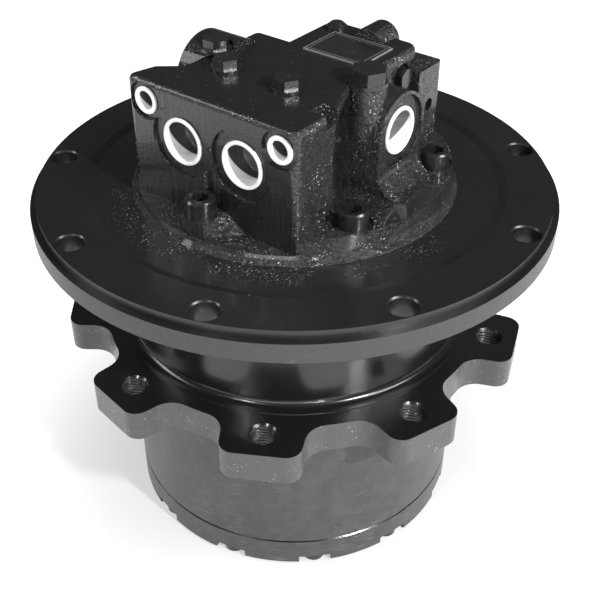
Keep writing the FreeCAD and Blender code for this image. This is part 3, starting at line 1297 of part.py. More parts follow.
def gallery_plugs():
    """The screw plugs that close the drilled galleries."""
    plug = new_body("gallery_plug", node=False)
    hex_plug(plug, (dim(0), dim(0), dim(0)), S.hex_r, S.hex_high, S.hex_collar_r, S.hex_shank_r)
    placed("gallery_plugs", plug, [
        ((-S.top_plug_x, S.top_plug_y, S.block_high), "up"),
        ((S.top_plug_x, S.top_plug_y, S.block_high), "up"),
        ((S.left_plug_x, S.left_plug_y, S.left_plug_seat), "up"),
    ])
    hex_plug(new_body("side_gallery_plug"), (S.side_plug_x, S.side_plug_y, S.block_high),
             S.side_plug_hex_r, S.side_plug_hex, S.side_plug_hex_r, S.side_plug_r)
    dome = new_body("rear_dome_plug")
    x, y = S.dome_plug_x, S.dome_plug_y
    rod(dome, "Additive", S.hex_shank_r, S.hex_shank, (x, y, S.block_high - S.hex_shank))
    rod(dome, "Additive", S.dome_plug_r, S.dome_plug_high / 2, (x, y, S.block_high))
    cone(dome, "Additive", S.dome_plug_r, S.dome_plug_r * 0.6, S.dome_plug_high / 2,
         (x, y, S.block_high + S.dome_plug_high / 2))
    face = new_body("rear_face_plug")
    at = (S.rear_right - S.face_spot, S.face_plug_y, S.face_plug_height)
    rod(face, "Additive", S.hex_shank_r, S.hex_shank, at, "left")
    hexagon(face, "Additive", S.face_plug_hex_r, S.face_spot + S.face_plug_out, at, "right")


def spool_pieces():
    """The counterbalance spool in its cross bore, with a socket plug at the open end."""
    body = new_body("counterbalance_spool")
    middle = (S.shelf_right - S.spool_plug + S.shelf_left + S.spool_wall) / 2
    foot = middle - S.spool_long / 2
    at = (foot, S.spool_back, SPOOL_HEIGHT)
    rod(body, "Additive", S.spool_r, S.spool_long, at, "right")
    land = S.spool_long / 5
    for index in (1, 3):
        at = (foot + land * index, S.spool_back, SPOOL_HEIGHT)
        rod(body, "Subtractive", S.spool_r + 1, land, at, "right")
        rod(body, "Additive", S.spool_r - 2.4, land, at, "right")
    plug = new_body("spool_bore_plug")
    at = (S.shelf_right - S.spool_plug, S.spool_back, SPOOL_HEIGHT)
    rod(plug, "Additive", S.spool_plug_r, S.spool_plug, at, "right")
    hexagon(plug, "Subtractive", S.spool_plug_r * 0.5, S.spool_plug / 2,
            (S.shelf_right, S.spool_back, SPOOL_HEIGHT), "left")


def relief_valves():
    """The two relief cartridges, screwed flush into their bosses."""
    valve = new_body("relief_valve", node=False)
    rod(valve, "Additive", S.relief_r, S.relief_long, (0, 0, -S.relief_long))
    hexagon(valve, "Subtractive", S.relief_socket_r, S.relief_socket, (0, 0, 0), "down")
    placed("relief_valves", valve, [
        ((S.left_boss_end, S.left_boss_y, S.left_boss_height), "left"),
        ((S.rear_boss_x, S.rear_boss_end, S.rear_boss_height), "back"),
    ])


def rating_plate():
    """The bare plate on top of the block."""
    body = new_body("rating_plate")
    low = (S.plate_x - S.plate_long / 2, S.plate_y - S.plate_wide / 2, S.block_high)
    high = (S.plate_x + S.plate_long / 2, S.plate_y + S.plate_wide / 2, S.block_high + S.plate_thick)
    slab(body, "Additive", low, high)


def main():
    """Make every piece, test it and write it to its own file."""
    frame_flange()
    hub()
    end_cover()
    ring_gear()
    planets("first_stage", S.planet_a_teeth, CIRCLE_A, S.stage_a_foot, S.stage_a_wide, S.pin_a_r)
    planets("second_stage", S.planet_b_teeth, CIRCLE_B, S.stage_b_foot, S.stage_b_wide, S.pin_b_r)
    suns()
    first_stage_carrier()
    planet_pins()
    cover_pieces()
    main_bearings()
    face_seal()
    drive_shaft()
    shaft_bearings()
    motor_rotor()
    swash_plate()
    brake()
    valve_plate()
    port_block()
    base_screws()
    port_caps()
    gallery_plugs()
    spool_pieces()
    relief_valves()
    rating_plate()
    doc.recompute()
    for item in doc.Objects:
        if {"Invalid", "Error"} & set(item.State):
            raise RuntimeError(f"{item.Name} failed: {item.State} {item.getStatusString()}")
    os.makedirs("parts", exist_ok=True)
    for name, piece in NODES.items():
        if piece.Shape.isNull() or not piece.Shape.isValid():
            raise RuntimeError(f"{name} has no valid shape")
        piece.Label = name
        piece.Shape.exportStep(f"parts/{name}.step")


main()
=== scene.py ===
import bmesh
import bpy
import json
import math
from mathutils import Matrix, Vector


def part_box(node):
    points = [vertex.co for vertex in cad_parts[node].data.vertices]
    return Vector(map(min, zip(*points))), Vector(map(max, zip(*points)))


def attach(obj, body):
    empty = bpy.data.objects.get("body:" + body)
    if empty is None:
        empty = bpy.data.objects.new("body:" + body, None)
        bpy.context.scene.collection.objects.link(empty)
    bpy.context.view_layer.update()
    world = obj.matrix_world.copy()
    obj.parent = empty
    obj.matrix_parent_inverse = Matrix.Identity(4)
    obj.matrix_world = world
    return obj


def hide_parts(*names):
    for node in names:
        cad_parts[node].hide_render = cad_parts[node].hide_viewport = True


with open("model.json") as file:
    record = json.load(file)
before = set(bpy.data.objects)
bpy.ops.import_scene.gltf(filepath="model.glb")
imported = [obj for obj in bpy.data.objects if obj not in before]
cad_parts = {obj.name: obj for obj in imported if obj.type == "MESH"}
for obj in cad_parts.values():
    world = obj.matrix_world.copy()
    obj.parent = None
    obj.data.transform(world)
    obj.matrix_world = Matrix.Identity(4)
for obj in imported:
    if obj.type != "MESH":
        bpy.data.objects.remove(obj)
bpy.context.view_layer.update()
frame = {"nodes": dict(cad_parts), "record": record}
nodes = frame["nodes"]

# The view that the photograph was taken from: in front of the side port's corner and well above,
# with a lens a little longer than a normal one.
camera_data = bpy.data.cameras.new("view")
camera_data.lens = 61.28
camera_data.sensor_width = 36.0
camera_data.clip_start = 0.05
camera_data.clip_end = 20.0
camera = bpy.data.objects.new("view", camera_data)
bpy.context.scene.collection.objects.link(camera)
bpy.context.scene.camera = camera
camera.location = (0.31236, -0.39980, 0.50409)
camera_looks = Vector((-0.4956, 0.6347, -0.5926))
camera.rotation_euler = camera_looks.to_track_quat("-Z", "Y").to_euler()


# The bolting flange: an iron casting turned all over, with a sunk floor, a machined land, a pilot
# step round its rim and nine drilled holes, sprayed with thin gloss black enamel.
class Flow:
    """A value that runs through a finish's nodes; a sum written on it adds the Math nodes."""

    def __init__(self, finish, socket):
        self.finish = finish
        self.socket = socket

    def sum_of(self, operation, *values):
        return self.finish.add("ShaderNodeMath", {"operation": operation}, list(values))

    def __add__(self, other):
        return self.sum_of("ADD", self, other)

    def __radd__(self, other):
        return self.sum_of("ADD", other, self)

    def __sub__(self, other):
        return self.sum_of("SUBTRACT", self, other)

    def __rsub__(self, other):
        return self.sum_of("SUBTRACT", other, self)

    def __mul__(self, other):
        return self.sum_of("MULTIPLY", self, other)

    def __rmul__(self, other):
        return self.sum_of("MULTIPLY", other, self)

    def __pow__(self, other):
        return self.sum_of("POWER", self, other)

    def __rpow__(self, other):
        return self.sum_of("POWER", other, self)

    def __neg__(self):
        return self.sum_of("MULTIPLY", self, -1.0)

    def __abs__(self):
        return self.sum_of("ABSOLUTE", self)

    def over(self, other):
        """The larger of the two."""
        return self.sum_of("MAXIMUM", self, other)

    def rise(self, low, high):
        """0 at low, 1 at high, and smooth between; high may be the lower number."""
        settings = {"interpolation_type": "SMOOTHSTEP"}
        return self.finish.add("ShaderNodeMapRange", settings, {0: self, 1: low, 2: high})


class Finish:
    """One paint, plastic or bare metal: its nodes are added one by one, and close() ends it."""

    def __init__(self, name):
        self.material = bpy.data.materials.new(name)
        self.material.use_nodes = True
        self.tree = self.material.node_tree
        self.tree.nodes.clear()
        self.place = self.add("ShaderNodeTexCoord", out="Object")
        self.x, self.y, self.z = self.parts(self.place)
        self.radius = (self.x * self.x + self.y * self.y) ** 0.5
        self.normal = None

    def add(self, kind, settings=None, sockets=None, out=0):
        """One node of any kind: its settings first, then its sockets' values or links."""
        node = self.tree.nodes.new(kind)
        for key, value in (settings or {}).items():
            setattr(node, key, value)
        wanted = sockets or {}
        pairs = enumerate(wanted) if isinstance(wanted, list) else wanted.items()
        for key, value in pairs:
            if isinstance(value, Flow):
                self.tree.links.new(value.socket, node.inputs[key])
            else:
                node.inputs[key].default_value = value
        return Flow(self, node.outputs[out])

    def parts(self, vector):
        """The three numbers of a vector, each as a Flow."""
        node = self.add("ShaderNodeSeparateXYZ", None, [vector]).socket.node
        return [Flow(self, socket) for socket in node.outputs]

    def point(self, x, y, z):
        """A vector put together from three numbers."""
        return self.add("ShaderNodeCombineXYZ", None, [x, y, z])

    def noise(self, size, detail=2.0, ragged=0.5, at=None):
        """Soft noise from 0 to 1 whose blotches are about size metres across."""
        sockets = {"Vector": at or self.place, "Scale": 1.0 / size, "Detail": detail,
                   "Roughness": ragged}
        return self.add("ShaderNodeTexNoise", {"normalize": True}, sockets, "Fac")

    def cells(self, size):
        """The distance to the nearest of scattered points that are about size metres apart."""
        sockets = {"Vector": self.place, "Scale": 1.0 / size, "Randomness": 1.0}
        return self.add("ShaderNodeTexVoronoi", {"feature": "F1"}, sockets, "Distance")

    def facing(self, axis):
        """How squarely the surface faces up (axis 2) or along X or Y, from -1 to 1."""
        geometry = self.add("ShaderNodeNewGeometry", out="Normal")
        return self.parts(geometry)[axis]

    def blend(self, amount, first, second):
        """The first colour where amount is 0, and the second where it is 1."""
        sockets = {0: amount, 6: first, 7: second}
        return self.add("ShaderNodeMix", {"data_type": "RGBA"}, sockets, 2)

    def emboss(self, height, depth):
        """Raises the surface by height times depth metres, over what was embossed before."""
        sockets = {"Strength": 1.0, "Distance": depth, "Height": height}
        if self.normal is not None:
            sockets["Normal"] = self.normal
        self.normal = self.add("ShaderNodeBump", None, sockets)

    def close(self, colour, roughness, metallic=0.0, coat=0.0, coat_rough=0.08):
        """Joins the looks in one Principled surface and gives back the finished material."""
        sockets = {"Base Color": colour, "Roughness": roughness, "Metallic": metallic, "IOR": 1.5,
                   "Coat Weight": coat, "Coat Roughness": coat_rough}
        if self.normal is not None:
            sockets["Normal"] = self.normal
        self.end(self.add("ShaderNodeBsdfPrincipled", None, sockets))
        return self.material

    def end(self, shader):
        """Links a shader to the material's output."""
        output = self.tree.nodes.new("ShaderNodeOutputMaterial")
        self.tree.links.new(shader.socket, output.inputs["Surface"])


def grey(value):
    """A neutral colour; the photograph is nearly without colour."""
    return (value, value, value, 1.0)


def paint(node_name, material):
    """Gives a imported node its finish."""
    node = nodes[node_name]
    node.data.materials.clear()
    node.data.materials.append(material)


def turned_height(finish, pitch):
    """Turning marks: fine rings on the faces that look up or down, and fine hoops on the sides."""
    up = abs(finish.facing(2)).rise(0.6, 0.8)
    along = finish.radius * up + finish.z * (1.0 - up)
    line = finish.point(along, 0.0, 0.0)
    return finish.noise(pitch, 3.0, 0.6, line)


def nibs(finish, spacing, size):
    """Dust nibs under the paint: small scattered bumps, 1 on a nib and 0 between."""
    return finish.cells(spacing).rise(size, size * 0.35)


def shaded(finish, shade, roughness, coat, coat_rough):
    """Closes an enamel whose colour is a neutral shade that varies over the surface."""
    colour = finish.blend(shade, grey(0.0), grey(1.0))
    return finish.close(colour, roughness, coat=coat, coat_rough=coat_rough)


FOOT_RING = (0.114, 0.097)     # radii in metres, between which the foot's rough ring fades in
RIM_STEP = (0.1475, 0.1490)    # radii in metres, between which the rim's grain fades in


def flange_enamel():
    """Thin enamel with turning marks, orange peel, dust nibs and runs where it pooled, and painted
    glints: light specks in its colour, thickest near the foot on the front.
    """
    finish = Finish("flange_enamel")
    up = abs(finish.facing(2))
    turned = turned_height(finish, 0.0011)
    peel = finish.noise(0.0022, 2.0)
    dust = nibs(finish, 0.0065, 0.05)
    cloud = finish.noise(0.045, 3.0)
    runs = finish.noise(0.0032, 3.0, 0.65)
    near_foot = finish.radius.rise(*FOOT_RING) * up.rise(0.5, 0.9)
    clumps = finish.noise(0.016, 3.0, 0.6).rise(0.42, 0.60)
    finish.emboss(turned, 0.00004)
    finish.emboss(peel, 0.00006)
    finish.emboss(dust, 0.00035)
    finish.emboss(runs * near_foot, 0.0004)
    worn = finish.noise(0.012, 5.0, 0.7).rise(0.62, 0.74) * up.rise(0.5, 0.1)
    rim = up.rise(0.6, 0.2) * finish.radius.rise(*RIM_STEP)
    # Painted glints: light specks put into the colour, sparse all over and thick near the foot on
    # the front.
    strength = finish.noise(0.0021, 2.0).rise(0.40, 0.65)
    sparse_glints = finish.cells(0.0048).rise(0.10, 0.04)
    sparse_glints = sparse_glints * finish.noise(0.03, 3.0).rise(0.58, 0.72) * 0.35
    in_front = (finish.x * 0.35 - finish.y * 0.94) * 10.0
    fine = finish.cells(0.0013).rise(0.32, 0.14) * strength
    painted_glints = sparse_glints + fine * near_foot * clumps * in_front.rise(0.1, 0.9) * 1.8
    rim_grain = finish.noise(0.0018, 4.0, 0.7)
    finish.emboss(rim_grain * rim, 0.0004)
    shade = 0.005 + worn * 0.03 + rim * rim_grain * 0.03 + painted_glints * 0.30 + cloud * 0.004
    roughness = 0.26 + cloud * 0.12 + turned * 0.05 + rim * 0.16
    return shaded(finish, shade, roughness, 0.2, 0.14)


paint("frame_flange", flange_enamel())


# The port block: a sand casting with milled port face and top, that holds the piston motor. The
# cast skin between the milled faces is lumpy, and the thick enamel on it glints at the lumps, with
# painted glints added in its colour.
MILLED_TOP = (0.2865, 0.2875)      # heights in metres, between which the milled top begins
MILLED_FRONT = (0.0670, 0.0675)    # distances from the axis, between which the port face begins


def cast_enamel():
    """Thick enamel over lumpy cast skin, smoother where the iron under it was milled."""
    finish = Finish("cast_enamel")
    top = finish.facing(2).rise(0.85, 0.97) * finish.z.rise(*MILLED_TOP)
    front = (-finish.facing(1)).rise(0.9, 0.98) * (-finish.y).rise(*MILLED_FRONT)
    milled = top.over(front)
    skin = 1.0 - milled
    lumps = finish.noise(0.0045, 2.0, 0.5)
    grains = finish.noise(0.0014, 3.0, 0.6)
    pits = finish.cells(0.0021).rise(0.10, 0.45)
    drips = finish.noise(0.0016, 2.0, 0.5, finish.point(finish.x, finish.y, finish.z * 0.06))
    finish.emboss(lumps * skin, 0.0016)
    finish.emboss((grains * 0.6 + pits * 0.4) * (0.08 + skin * 0.92), 0.0022)
    finish.emboss(drips * front, 0.0005)
    finish.emboss(nibs(finish, 0.0045, 0.16), 0.0005)
    cloud = finish.noise(0.02, 3.0)
    worn = finish.noise(0.005, 5.0, 0.75).rise(0.66, 0.72) * skin
    # Painted glints: light specks put into the colour in scattered patches, nearly all on the cast
    # skin.
    patches = finish.noise(0.014, 3.0, 0.6).rise(0.46, 0.62)
    strength = finish.noise(0.0021, 2.0).rise(0.42, 0.62)
    painted_glints = finish.cells(0.0016).rise(0.32, 0.14) * patches * strength * (skin * 0.97 + 0.03)
    shade = 0.006 + cloud * skin * 0.008 + worn * 0.05 + painted_glints * 0.40
    roughness = 0.14 + cloud * 0.10 + top * 0.24 + front * 0.08
    return shaded(finish, shade, roughness, 0.40 - top * 0.36, 0.04)


paint("motor_port_block", cast_enamel())


# The screws and plugs on the block: bought parts that were sprayed over with the rest, so their
# sockets and edges hold a thick, glassy film.
def fastener_enamel():
    """Gloss enamel on steel, worn a little lighter in small patches."""
    finish = Finish("fastener_enamel")
    peel = finish.noise(0.0016, 2.0)
    cloud = finish.noise(0.01, 2.0)
    finish.emboss(peel, 0.00008)
    worn = finish.noise(0.0022, 4.0, 0.7).rise(0.60, 0.72)
    colour = finish.blend(worn, grey(0.008), grey(0.05))
    return finish.close(colour, 0.20 + cloud * 0.14, coat=0.35, coat_rough=0.08)


sprayed = fastener_enamel()
for name in ("base_screws", "gallery_plugs", "side_gallery_plug", "rear_dome_plug",
             "rear_face_plug", "spool_bore_plug", "relief_valves"):
    paint(name, sprayed)


# The port caps: hollow white plugs, moulded in soft polyethylene and pushed into the ports for
# transport, with a rolled rim and a tapered wall.
CAP_WALL = 0.0014
CAP_BEAD = 0.0009
CAP_RIM = 0.0016
SHANK_RADIUS = {"small": 0.0064, "main": 0.0123}
CAP_WHITE = (0.86, 0.86, 0.85, 1.0)


def cap_plastic():
    """The outside of a cap and its rolled rim, written darker than the plastic's white as a
    painted shade.
    """
    finish = Finish("cap_plastic")
    cloud = finish.noise(0.006, 2.0)
    scuffs = finish.noise(0.0012, 4.0, 0.7).rise(0.60, 0.72)
    finish.emboss(cloud, 0.0001)
    finish.emboss(scuffs, 0.00003)
    # Painted shade: the outside is a shade darker than the cap's white, so that its lit rim stays
    # below white; the scuffs are darker still.
    colour = finish.blend(scuffs, (0.72, 0.72, 0.71, 1.0), (0.62, 0.62, 0.61, 1.0))
    return finish.close(colour, 0.34 + cloud * 0.1)


def cap_inside_painted_shadow(name, depth_of, height, reach, shade):
    """The inside of a cap: white on its lower wall, and a painted shadow further in and higher up,
    where the upper rim would shade the hollow from the light above."""
    finish = Finish(name)
    cloud = finish.noise(0.004, 3.0)
    finish.emboss(cloud, 0.0001)
    # Painted shadow: it begins less deep the higher a point lies, as if cast by the upper rim.
    level = depth_of(finish) + (finish.z - height) * 0.51
    dark = level.rise(reach, reach + 0.0009)
    white = finish.blend(cloud, CAP_WHITE, (0.80, 0.80, 0.79, 1.0))
    painted_shadow_colour = finish.blend(cloud, grey(shade), grey(shade * 2.2))
    return finish.close(finish.blend(dark, white, painted_shadow_colour), 0.32 + cloud * 0.1)


white_cap = cap_plastic()
PORT_FACE, SIDE_FACE = 0.0698, 0.0625    # from the axis to the port face and the side port's face
BELOW_MOUTH = 0.002                      # where in a cap its depth is counted from
MOUTH = PORT_FACE + CAP_RIM - BELOW_MOUTH
SIDE_MOUTH = SIDE_FACE + CAP_RIM - BELOW_MOUTH
MAIN_PORTS_Z, SMALL_PORTS_Z = 0.2597, 0.2762
# Depths in metres at which the caps' painted shadow begins.
MAIN_SHADOW_DEPTH, SMALL_SHADOW_DEPTH = 0.0034, 0.0016    # depth at which the dark end begins


def front_depth(finish):
    """How deep a point lies in a cap of the port face."""
    return finish.y + MOUTH


def side_depth(finish):
    """How deep a point lies in the side port's cap."""
    return SIDE_MOUTH - finish.x


main_inside = cap_inside_painted_shadow("main_cap_inside", front_depth, MAIN_PORTS_Z, MAIN_SHADOW_DEPTH, 0.03)
small_inside = cap_inside_painted_shadow("small_cap_inside", front_depth, SMALL_PORTS_Z, SMALL_SHADOW_DEPTH, 0.035)
side_inside = cap_inside_painted_shadow("side_cap_inside", side_depth, MAIN_PORTS_Z, MAIN_SHADOW_DEPTH, 0.09)


def make_piece(name, mesh_maker, body, material):
    """A finished mesh object at the origin that rides on a body."""
    shape = bmesh.new()
    mesh_maker(shape)
    bmesh.ops.remove_doubles(shape, verts=shape.verts, dist=1e-6)
    bmesh.ops.recalc_face_normals(shape, faces=shape.faces)
    data = bpy.data.meshes.new(name)
    shape.to_mesh(data)
    shape.free()
    for polygon in data.polygons:
        polygon.use_smooth = True
    piece = bpy.data.objects.new(name, data)
    bpy.context.scene.collection.objects.link(piece)
    data.materials.append(material)
    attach(piece, body)
    return piece


def spun(shape, outline, steps=64):
    """Spins an outline of (radius, height) points once round Z."""
    verts = [shape.verts.new((r, 0.0, z)) for r, z in outline]
    edges = [shape.edges.new(pair) for pair in zip(verts, verts[1:])]
    bmesh.ops.spin(shape, geom=verts + edges, cent=(0, 0, 0), axis=(0, 0, 1), dvec=(0, 0, 0),
                   angle=math.tau, steps=steps, use_merge=True, use_duplicate=False)


def cap_maker(node_name):
    """Draws a cap over its node: closed end, shank, rim with a rolled bead, and the hollow."""
    low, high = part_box(node_name)
    size = high - low
    outward = Vector((1, 0, 0)) if node_name.startswith("side") else Vector((0, -1, 0))
    depth = abs(size.dot(outward))
    rim_r = size.z / 2
    face = (low + high) / 2 + outward * depth / 2
    small = "small" in node_name
    shank_r = SHANK_RADIUS["small" if small else "main"]
    bead = CAP_BEAD * (0.7 if small else 1.0)

    def make(shape):
        outline = [(0.0, -depth), (shank_r * 0.90, -depth), (shank_r * 0.955, -depth + bead)]
        outline += [(shank_r, -CAP_RIM - 0.0006), (shank_r, -CAP_RIM)]
        outline += [(rim_r - 0.0002, -CAP_RIM), (rim_r, -CAP_RIM + 0.0002)]
        for step in range(7):
            turn = math.radians(15 * step)
            outline.append((rim_r - bead + bead * math.cos(turn), -bead + bead * math.sin(turn)))
        inner = shank_r - CAP_WALL
        for step in range(1, 7):
            turn = math.radians(90 - 15 * step)
            outline.append((inner + bead - bead * math.cos(turn), -bead + bead * math.sin(turn)))
        outline += [(inner * 0.97, -depth * 0.5), (inner * 0.93, -depth + CAP_WALL + bead)]
        outline += [(inner * 0.86, -depth + CAP_WALL), (0.0, -depth + CAP_WALL)]
        spun(shape, outline)
        turn = Vector((0, 0, 1)).rotation_difference(outward).to_matrix().to_4x4()
        bmesh.ops.transform(shape, matrix=Matrix.Translation(face) @ turn, verts=shape.verts)

    return make


def line_inside(cap, node_name, material):
    """The inside finish, with its painted shadow, on the wall and floor of a cap's hollow."""
    low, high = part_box(node_name)
    inward = Vector((-1, 0, 0)) if node_name.startswith("side") else Vector((0, 1, 0))
    mouth = min(low.dot(inward), high.dot(inward))
    cap.data.materials.append(material)
    for polygon in cap.data.polygons:
        across = polygon.center - (low + high) / 2
        across -= inward * across.dot(inward)
        hollow = across.length < (high.z - low.z) / 2 - CAP_WALL - CAP_BEAD
        polygon.material_index = int(hollow and polygon.center.dot(inward) - mouth > CAP_BEAD)


for name, inside in (("left_main_port_cap", main_inside), ("right_main_port_cap", main_inside),
                     ("left_small_port_cap", small_inside), ("right_small_port_cap", small_inside),
                     ("side_port_cap", side_inside)):
    cap = make_piece("moulded_" + name, cap_maker(name), name, white_cap)
    line_inside(cap, name, inside)
    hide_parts(name)


# The rating plate: a thin sheet of black painted aluminium on the rear of the block, left bare,
# held by a drive pin near each corner.
plate_low, plate_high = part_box("rating_plate")
BARE_EDGE = (0.0008, 0.0004)    # metres in from the plate's edge, as are the line's two sides
LINE_STARTS, LINE_ENDS = (0.0019, 0.0021), (0.0027, 0.0025)


def plate_paint():
    """Black paint, rubbed through to light metal at the edges, with one thin border line."""
    finish = Finish("plate_paint")
    brushed = finish.noise(0.0006, 3.0, 0.6, finish.point(finish.x * 0.08, finish.y, finish.z))
    finish.emboss(brushed, 0.00002)
    rubbed = finish.noise(0.008, 5.0, 0.7).rise(0.55, 0.75)
    middle, half = (plate_high + plate_low) / 2, (plate_high - plate_low) / 2
    from_end = half.x - abs(finish.x - middle.x)
    from_side = half.y - abs(finish.y - middle.y)
    bare_edge = from_end.rise(*BARE_EDGE).over(from_side.rise(*BARE_EDGE))
    end_line = from_end.rise(*LINE_STARTS) * from_end.rise(*LINE_ENDS)
    side_line = from_side.rise(*LINE_STARTS) * from_side.rise(*LINE_ENDS)
    shade = 0.010 + rubbed * 0.02 + bare_edge * 0.16 + end_line.over(side_line) * 0.10
    return shaded(finish, shade, 0.24 + rubbed * 0.15, 0.3, 0.08)


paint("rating_plate", plate_paint())


def pin_maker(x, y, foot):
    """A drive pin's low domed head on the plate."""
    def make(shape):
        spun(shape, [(0.0009, 0.0), (0.0009, 0.0002), (0.0006, 0.00045), (0.0, 0.0005)], 16)
        bmesh.ops.translate(shape, verts=shape.verts, vec=(x, y, foot))

    return make


PIN_INSET = Vector((0.0022, 0.0022, 0.0))
PIN_SUNK = 0.00005
pin_low, pin_high = plate_low + PIN_INSET, plate_high - PIN_INSET
corners = ((pin_low.x, pin_low.y), (pin_high.x, pin_low.y), (pin_low.x, pin_high.y),
           (pin_high.x, pin_high.y))
for index, (x, y) in enumerate(corners, 1):
    maker = pin_maker(x, y, plate_high.z - PIN_SUNK)
    make_piece(f"plate_pin_{index}", maker, "frame", sprayed)


# The lobed hub: a forging whose nine lobes were flame cut, with a tapped hole in each, over a
# turned barrel. The enamel on it is thin and satin, and the cut sides of the lobes stay rough.
LOBE_FOOT = (0.1085, 0.1095)    # heights in metres, between which the lobes begin
LOBE_TOP = (0.1285, 0.1275)     # heights where they end
LOBE_ROOT = (0.1045, 0.1065)    # radii where they leave the barrel


def hub_enamel():
    """Satin enamel: mottled and scratched on the barrel, rough on the cut lobes, with painted
    glints in light specks on them.
    """
    finish = Finish("hub_enamel")
    side = abs(finish.facing(2)).rise(0.75, 0.35)
    lobe = finish.z.rise(*LOBE_FOOT) * finish.z.rise(*LOBE_TOP) * finish.radius.rise(*LOBE_ROOT)
    barrel = finish.z.rise(*reversed(LOBE_FOOT)) * side
    cut = lobe * side
    turned = turned_height(finish, 0.0013)
    drag = finish.noise(0.0012, 3.0, 0.6, finish.point(finish.x, finish.y, finish.z * 0.3))
    grains = finish.noise(0.0012, 3.0, 0.65)
    cloud = finish.noise(0.03, 4.0)
    mottle = finish.noise(0.004, 4.0, 0.7)
    around = finish.add("ShaderNodeMath", {"operation": "ARCTAN2"}, [finish.y, finish.x])
    scratch_line = finish.point(around * 0.006, finish.z, 0.0)
    patches = finish.noise(0.035, 2.0).rise(0.45, 0.65)
    scratches = finish.noise(0.0007, 2.0, 0.5, scratch_line).rise(0.62, 0.70) * barrel * patches
    # Painted glints: light specks put into the colour in patches on the cut sides of the lobes.
    painted_glints = finish.cells(0.0018).rise(0.24, 0.10)
    painted_glints = painted_glints * finish.noise(0.008, 3.0).rise(0.50, 0.66) * cut
    finish.emboss(turned, 0.00004)
    finish.emboss(grains * (0.2 + cut * 0.8), 0.0003)
    finish.emboss(drag * cut, 0.0003)
    finish.emboss(scratches, -0.0001)
    blotch = finish.noise(0.011, 4.0, 0.65).rise(0.35, 0.70)
    shade = 0.006 + barrel * (0.006 + mottle * 0.022 + blotch * 0.014 + cloud * 0.010)
    shade = shade + cut * (0.022 + mottle * 0.03) + scratches * 0.10 + painted_glints * 0.30
    roughness = 0.18 + barrel * 0.20 + cut * 0.12 + cloud * 0.08
    return shaded(finish, shade, roughness, 0.2, 0.10)


hub_black = hub_enamel()
paint("hub", hub_black)
THREAD_PITCH = 0.002
THREAD_STEPS = 28                 # to the turn
THREAD_RADIUS = 0.007
THREAD_ENDS = (0.1112, 0.1262)    # heights
LOBE_COUNT = 9
LOBE_CIRCLE = 0.122               # radius on which the lobes' holes lie
FIRST_LOBE = 20                   # degrees


def thread_maker(x, y, radius, low, high):
    """Draws a tapped hole's thread as one ridge that winds up the wall of the hole."""
    def make(shape):
        crest, half = radius - 0.00032, THREAD_PITCH * 0.42
        root = radius + 0.0002
        ring = [(root, -half), (crest, -half * 0.25), (crest, half * 0.25), (root, half)]
        verts = [shape.verts.new((r, 0.0, z)) for r, z in ring]
        edges = [shape.edges.new(pair) for pair in zip(verts, verts[1:] + verts[:1])]
        turns = (high - low) / THREAD_PITCH
        steps = round(turns * THREAD_STEPS)
        rise = (high - low) / steps
        bmesh.ops.spin(shape, geom=verts + edges, cent=(0, 0, 0), axis=(0, 0, 1),
                       dvec=(0, 0, rise), angle=math.tau * turns, steps=steps,
                       use_merge=False, use_duplicate=False)
        bmesh.ops.holes_fill(shape, edges=[e for e in shape.edges if e.is_boundary], sides=0)
        bmesh.ops.translate(shape, verts=shape.verts, vec=(x, y, low))

    return make


for index in range(LOBE_COUNT):
    angle = math.radians(FIRST_LOBE + 360 // LOBE_COUNT * index)
    x, y = LOBE_CIRCLE * math.cos(angle), LOBE_CIRCLE * math.sin(angle)
    make_piece(f"lobe_thread_{index + 1}", thread_maker(x, y, THREAD_RADIUS, *THREAD_ENDS), "hub",
               sprayed)


# The end cover and its screws: a turned disc with open pockets for the screw heads, under the
# same satin enamel as the barrel.
paint("end_cover", hub_black)
for name in ("cover_screws", "cover_oil_plugs"):
    paint(name, sprayed)


# The insides: gears, bearings, motor and brake, which are bare steel, bronze and rubber in oil.
def bare_metal(name, shade, roughness, grain):
    """Turned or ground metal, clouded a little darker by oil."""
    finish = Finish(name)
    marks = turned_height(finish, grain)
    cloud = finish.noise(0.02, 3.0)
    finish.emboss(marks, 0.00002)
    colour = finish.blend(cloud, shade, tuple(c * 0.82 for c in shade[:3]) + (1.0,))
    return finish.close(colour, roughness + cloud * 0.08, metallic=1.0)


def seal_rubber():
    """Black rubber with a dull moulded skin."""
    finish = Finish("seal_rubber")
    skin = finish.noise(0.0008, 2.0)
    finish.emboss(skin, 0.00003)
    return finish.close(finish.blend(skin, grey(0.015), grey(0.028)), 0.5 + skin * 0.1)


bare = {
    "machined_steel": bare_metal("machined_steel", (0.42, 0.42, 0.43, 1.0), 0.30, 0.0012),
    "ground_steel": bare_metal("ground_steel", (0.62, 0.62, 0.63, 1.0), 0.12, 0.0004),
    "bronze": bare_metal("bronze", (0.55, 0.38, 0.16, 1.0), 0.28, 0.0008),
    "seal_rubber": seal_rubber(),
}
for entry in frame["record"]["subparts"]:
    if entry["material_slot"] in bare:
        paint(entry["node"], bare[entry["material_slot"]])


# The studio: a white floor that keeps the lamps' soft shadow under a painted shadow round the
# object, white all round for the camera, a dim room above for the gloss, and large soft lamps.
FLOOR_DROP = 0.0002
# Radii in metres over which the floor's painted shadow fades out.
PAINTED_SHADOW_FADES, PAINTED_SHADOW_GONE = 0.095, 0.25


def floor_white():
    """White paper: its glow grows away from the object, so that a painted shadow lies round it."""
    finish = Finish("floor_white")
    # Painted shadow: the glow is lowest near the object and grows to full white further out.
    away = finish.radius.rise(PAINTED_SHADOW_FADES, PAINTED_SHADOW_GONE)
    glow = finish.blend(away, grey(0.48), grey(1.0))
    sockets = {"Base Color": grey(0.30), "Roughness": 0.9, "Emission Color": glow,
               "Emission Strength": 1.0, "Specular IOR Level": 0.0}
    finish.end(finish.add("ShaderNodeBsdfPrincipled", None, sockets))
    return finish.material


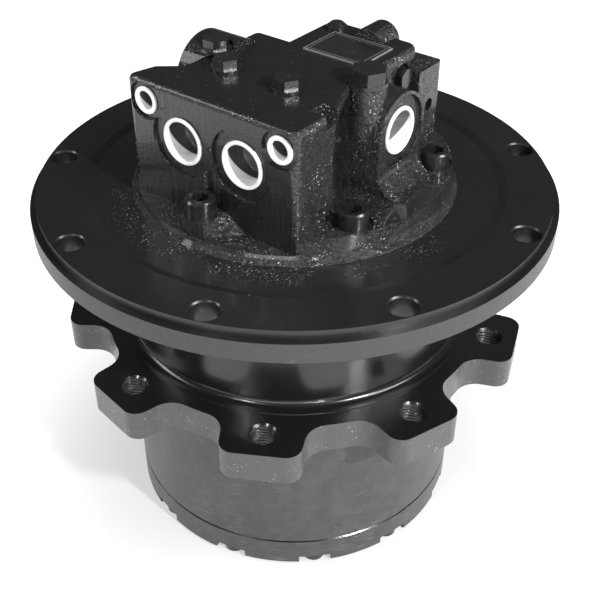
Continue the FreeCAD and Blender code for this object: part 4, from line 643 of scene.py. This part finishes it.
shape = bmesh.new()
bmesh.ops.create_grid(shape, x_segments=4, y_segments=4, size=3.0)
bmesh.ops.translate(shape, verts=shape.verts, vec=(0, 0, -FLOOR_DROP))
floor_mesh = bpy.data.meshes.new("studio_floor")
shape.to_mesh(floor_mesh)
shape.free()
floor = bpy.data.objects.new("studio_floor", floor_mesh)
floor_mesh.materials.append(floor_white())
bpy.context.scene.collection.objects.link(floor)


def room_light(strength):
    """A world that the camera sees as white, and that lights the object with this strength."""
    world = bpy.data.worlds.new("room")
    bpy.context.scene.world = world
    world.use_nodes = True
    tree = world.node_tree
    tree.nodes.clear()
    path = tree.nodes.new("ShaderNodeLightPath")
    seen = tree.nodes.new("ShaderNodeBackground")
    seen.inputs["Color"].default_value = grey(1.0)
    seen.inputs["Strength"].default_value = 1.0
    dim = tree.nodes.new("ShaderNodeBackground")
    dim.inputs["Color"].default_value = grey(1.0)
    dim.inputs["Strength"].default_value = strength
    pick = tree.nodes.new("ShaderNodeMixShader")
    output = tree.nodes.new("ShaderNodeOutputWorld")
    tree.links.new(path.outputs["Is Camera Ray"], pick.inputs[0])
    tree.links.new(dim.outputs[0], pick.inputs[1])
    tree.links.new(seen.outputs[0], pick.inputs[2])
    tree.links.new(pick.outputs[0], output.inputs["Surface"])


room_light(0.09)


def lamp(name, place, target, size, watts):
    """A rectangular soft lamp that points at the target."""
    data = bpy.data.lights.new(name, "AREA")
    data.shape = "RECTANGLE"
    data.size, data.size_y = size
    data.energy = watts
    piece = bpy.data.objects.new(name, data)
    piece.location = place
    piece.rotation_euler = (Vector(target) - Vector(place)).to_track_quat("-Z", "Y").to_euler()
    bpy.context.scene.collection.objects.link(piece)


lamp("key_softbox", (0.95, 0.25, 1.15), (0, 0, 0.2), (0.5, 0.5), 13)
lamp("left_softbox", (-0.9, -0.7, 0.9), (0, 0, 0.15), (0.3, 0.9), 7)
lamp("front_softbox", (0.55, -1.3, 0.45), (0, 0, 0.1), (0.9, 0.25), 4)
lamp("hard_lamp", (1.25, -0.25, 0.95), (0, 0, 0.2), (0.08, 0.08), 30)
lamp("small_lamp", (0.1, -1.15, 1.15), (0, 0, 0.2), (0.06, 0.06), 5)
lamp("low_lamp", (1.1, -0.9, 0.32), (0, 0, 0.24), (0.08, 0.08), 5)

bpy.context.scene.view_settings.view_transform = "Standard"
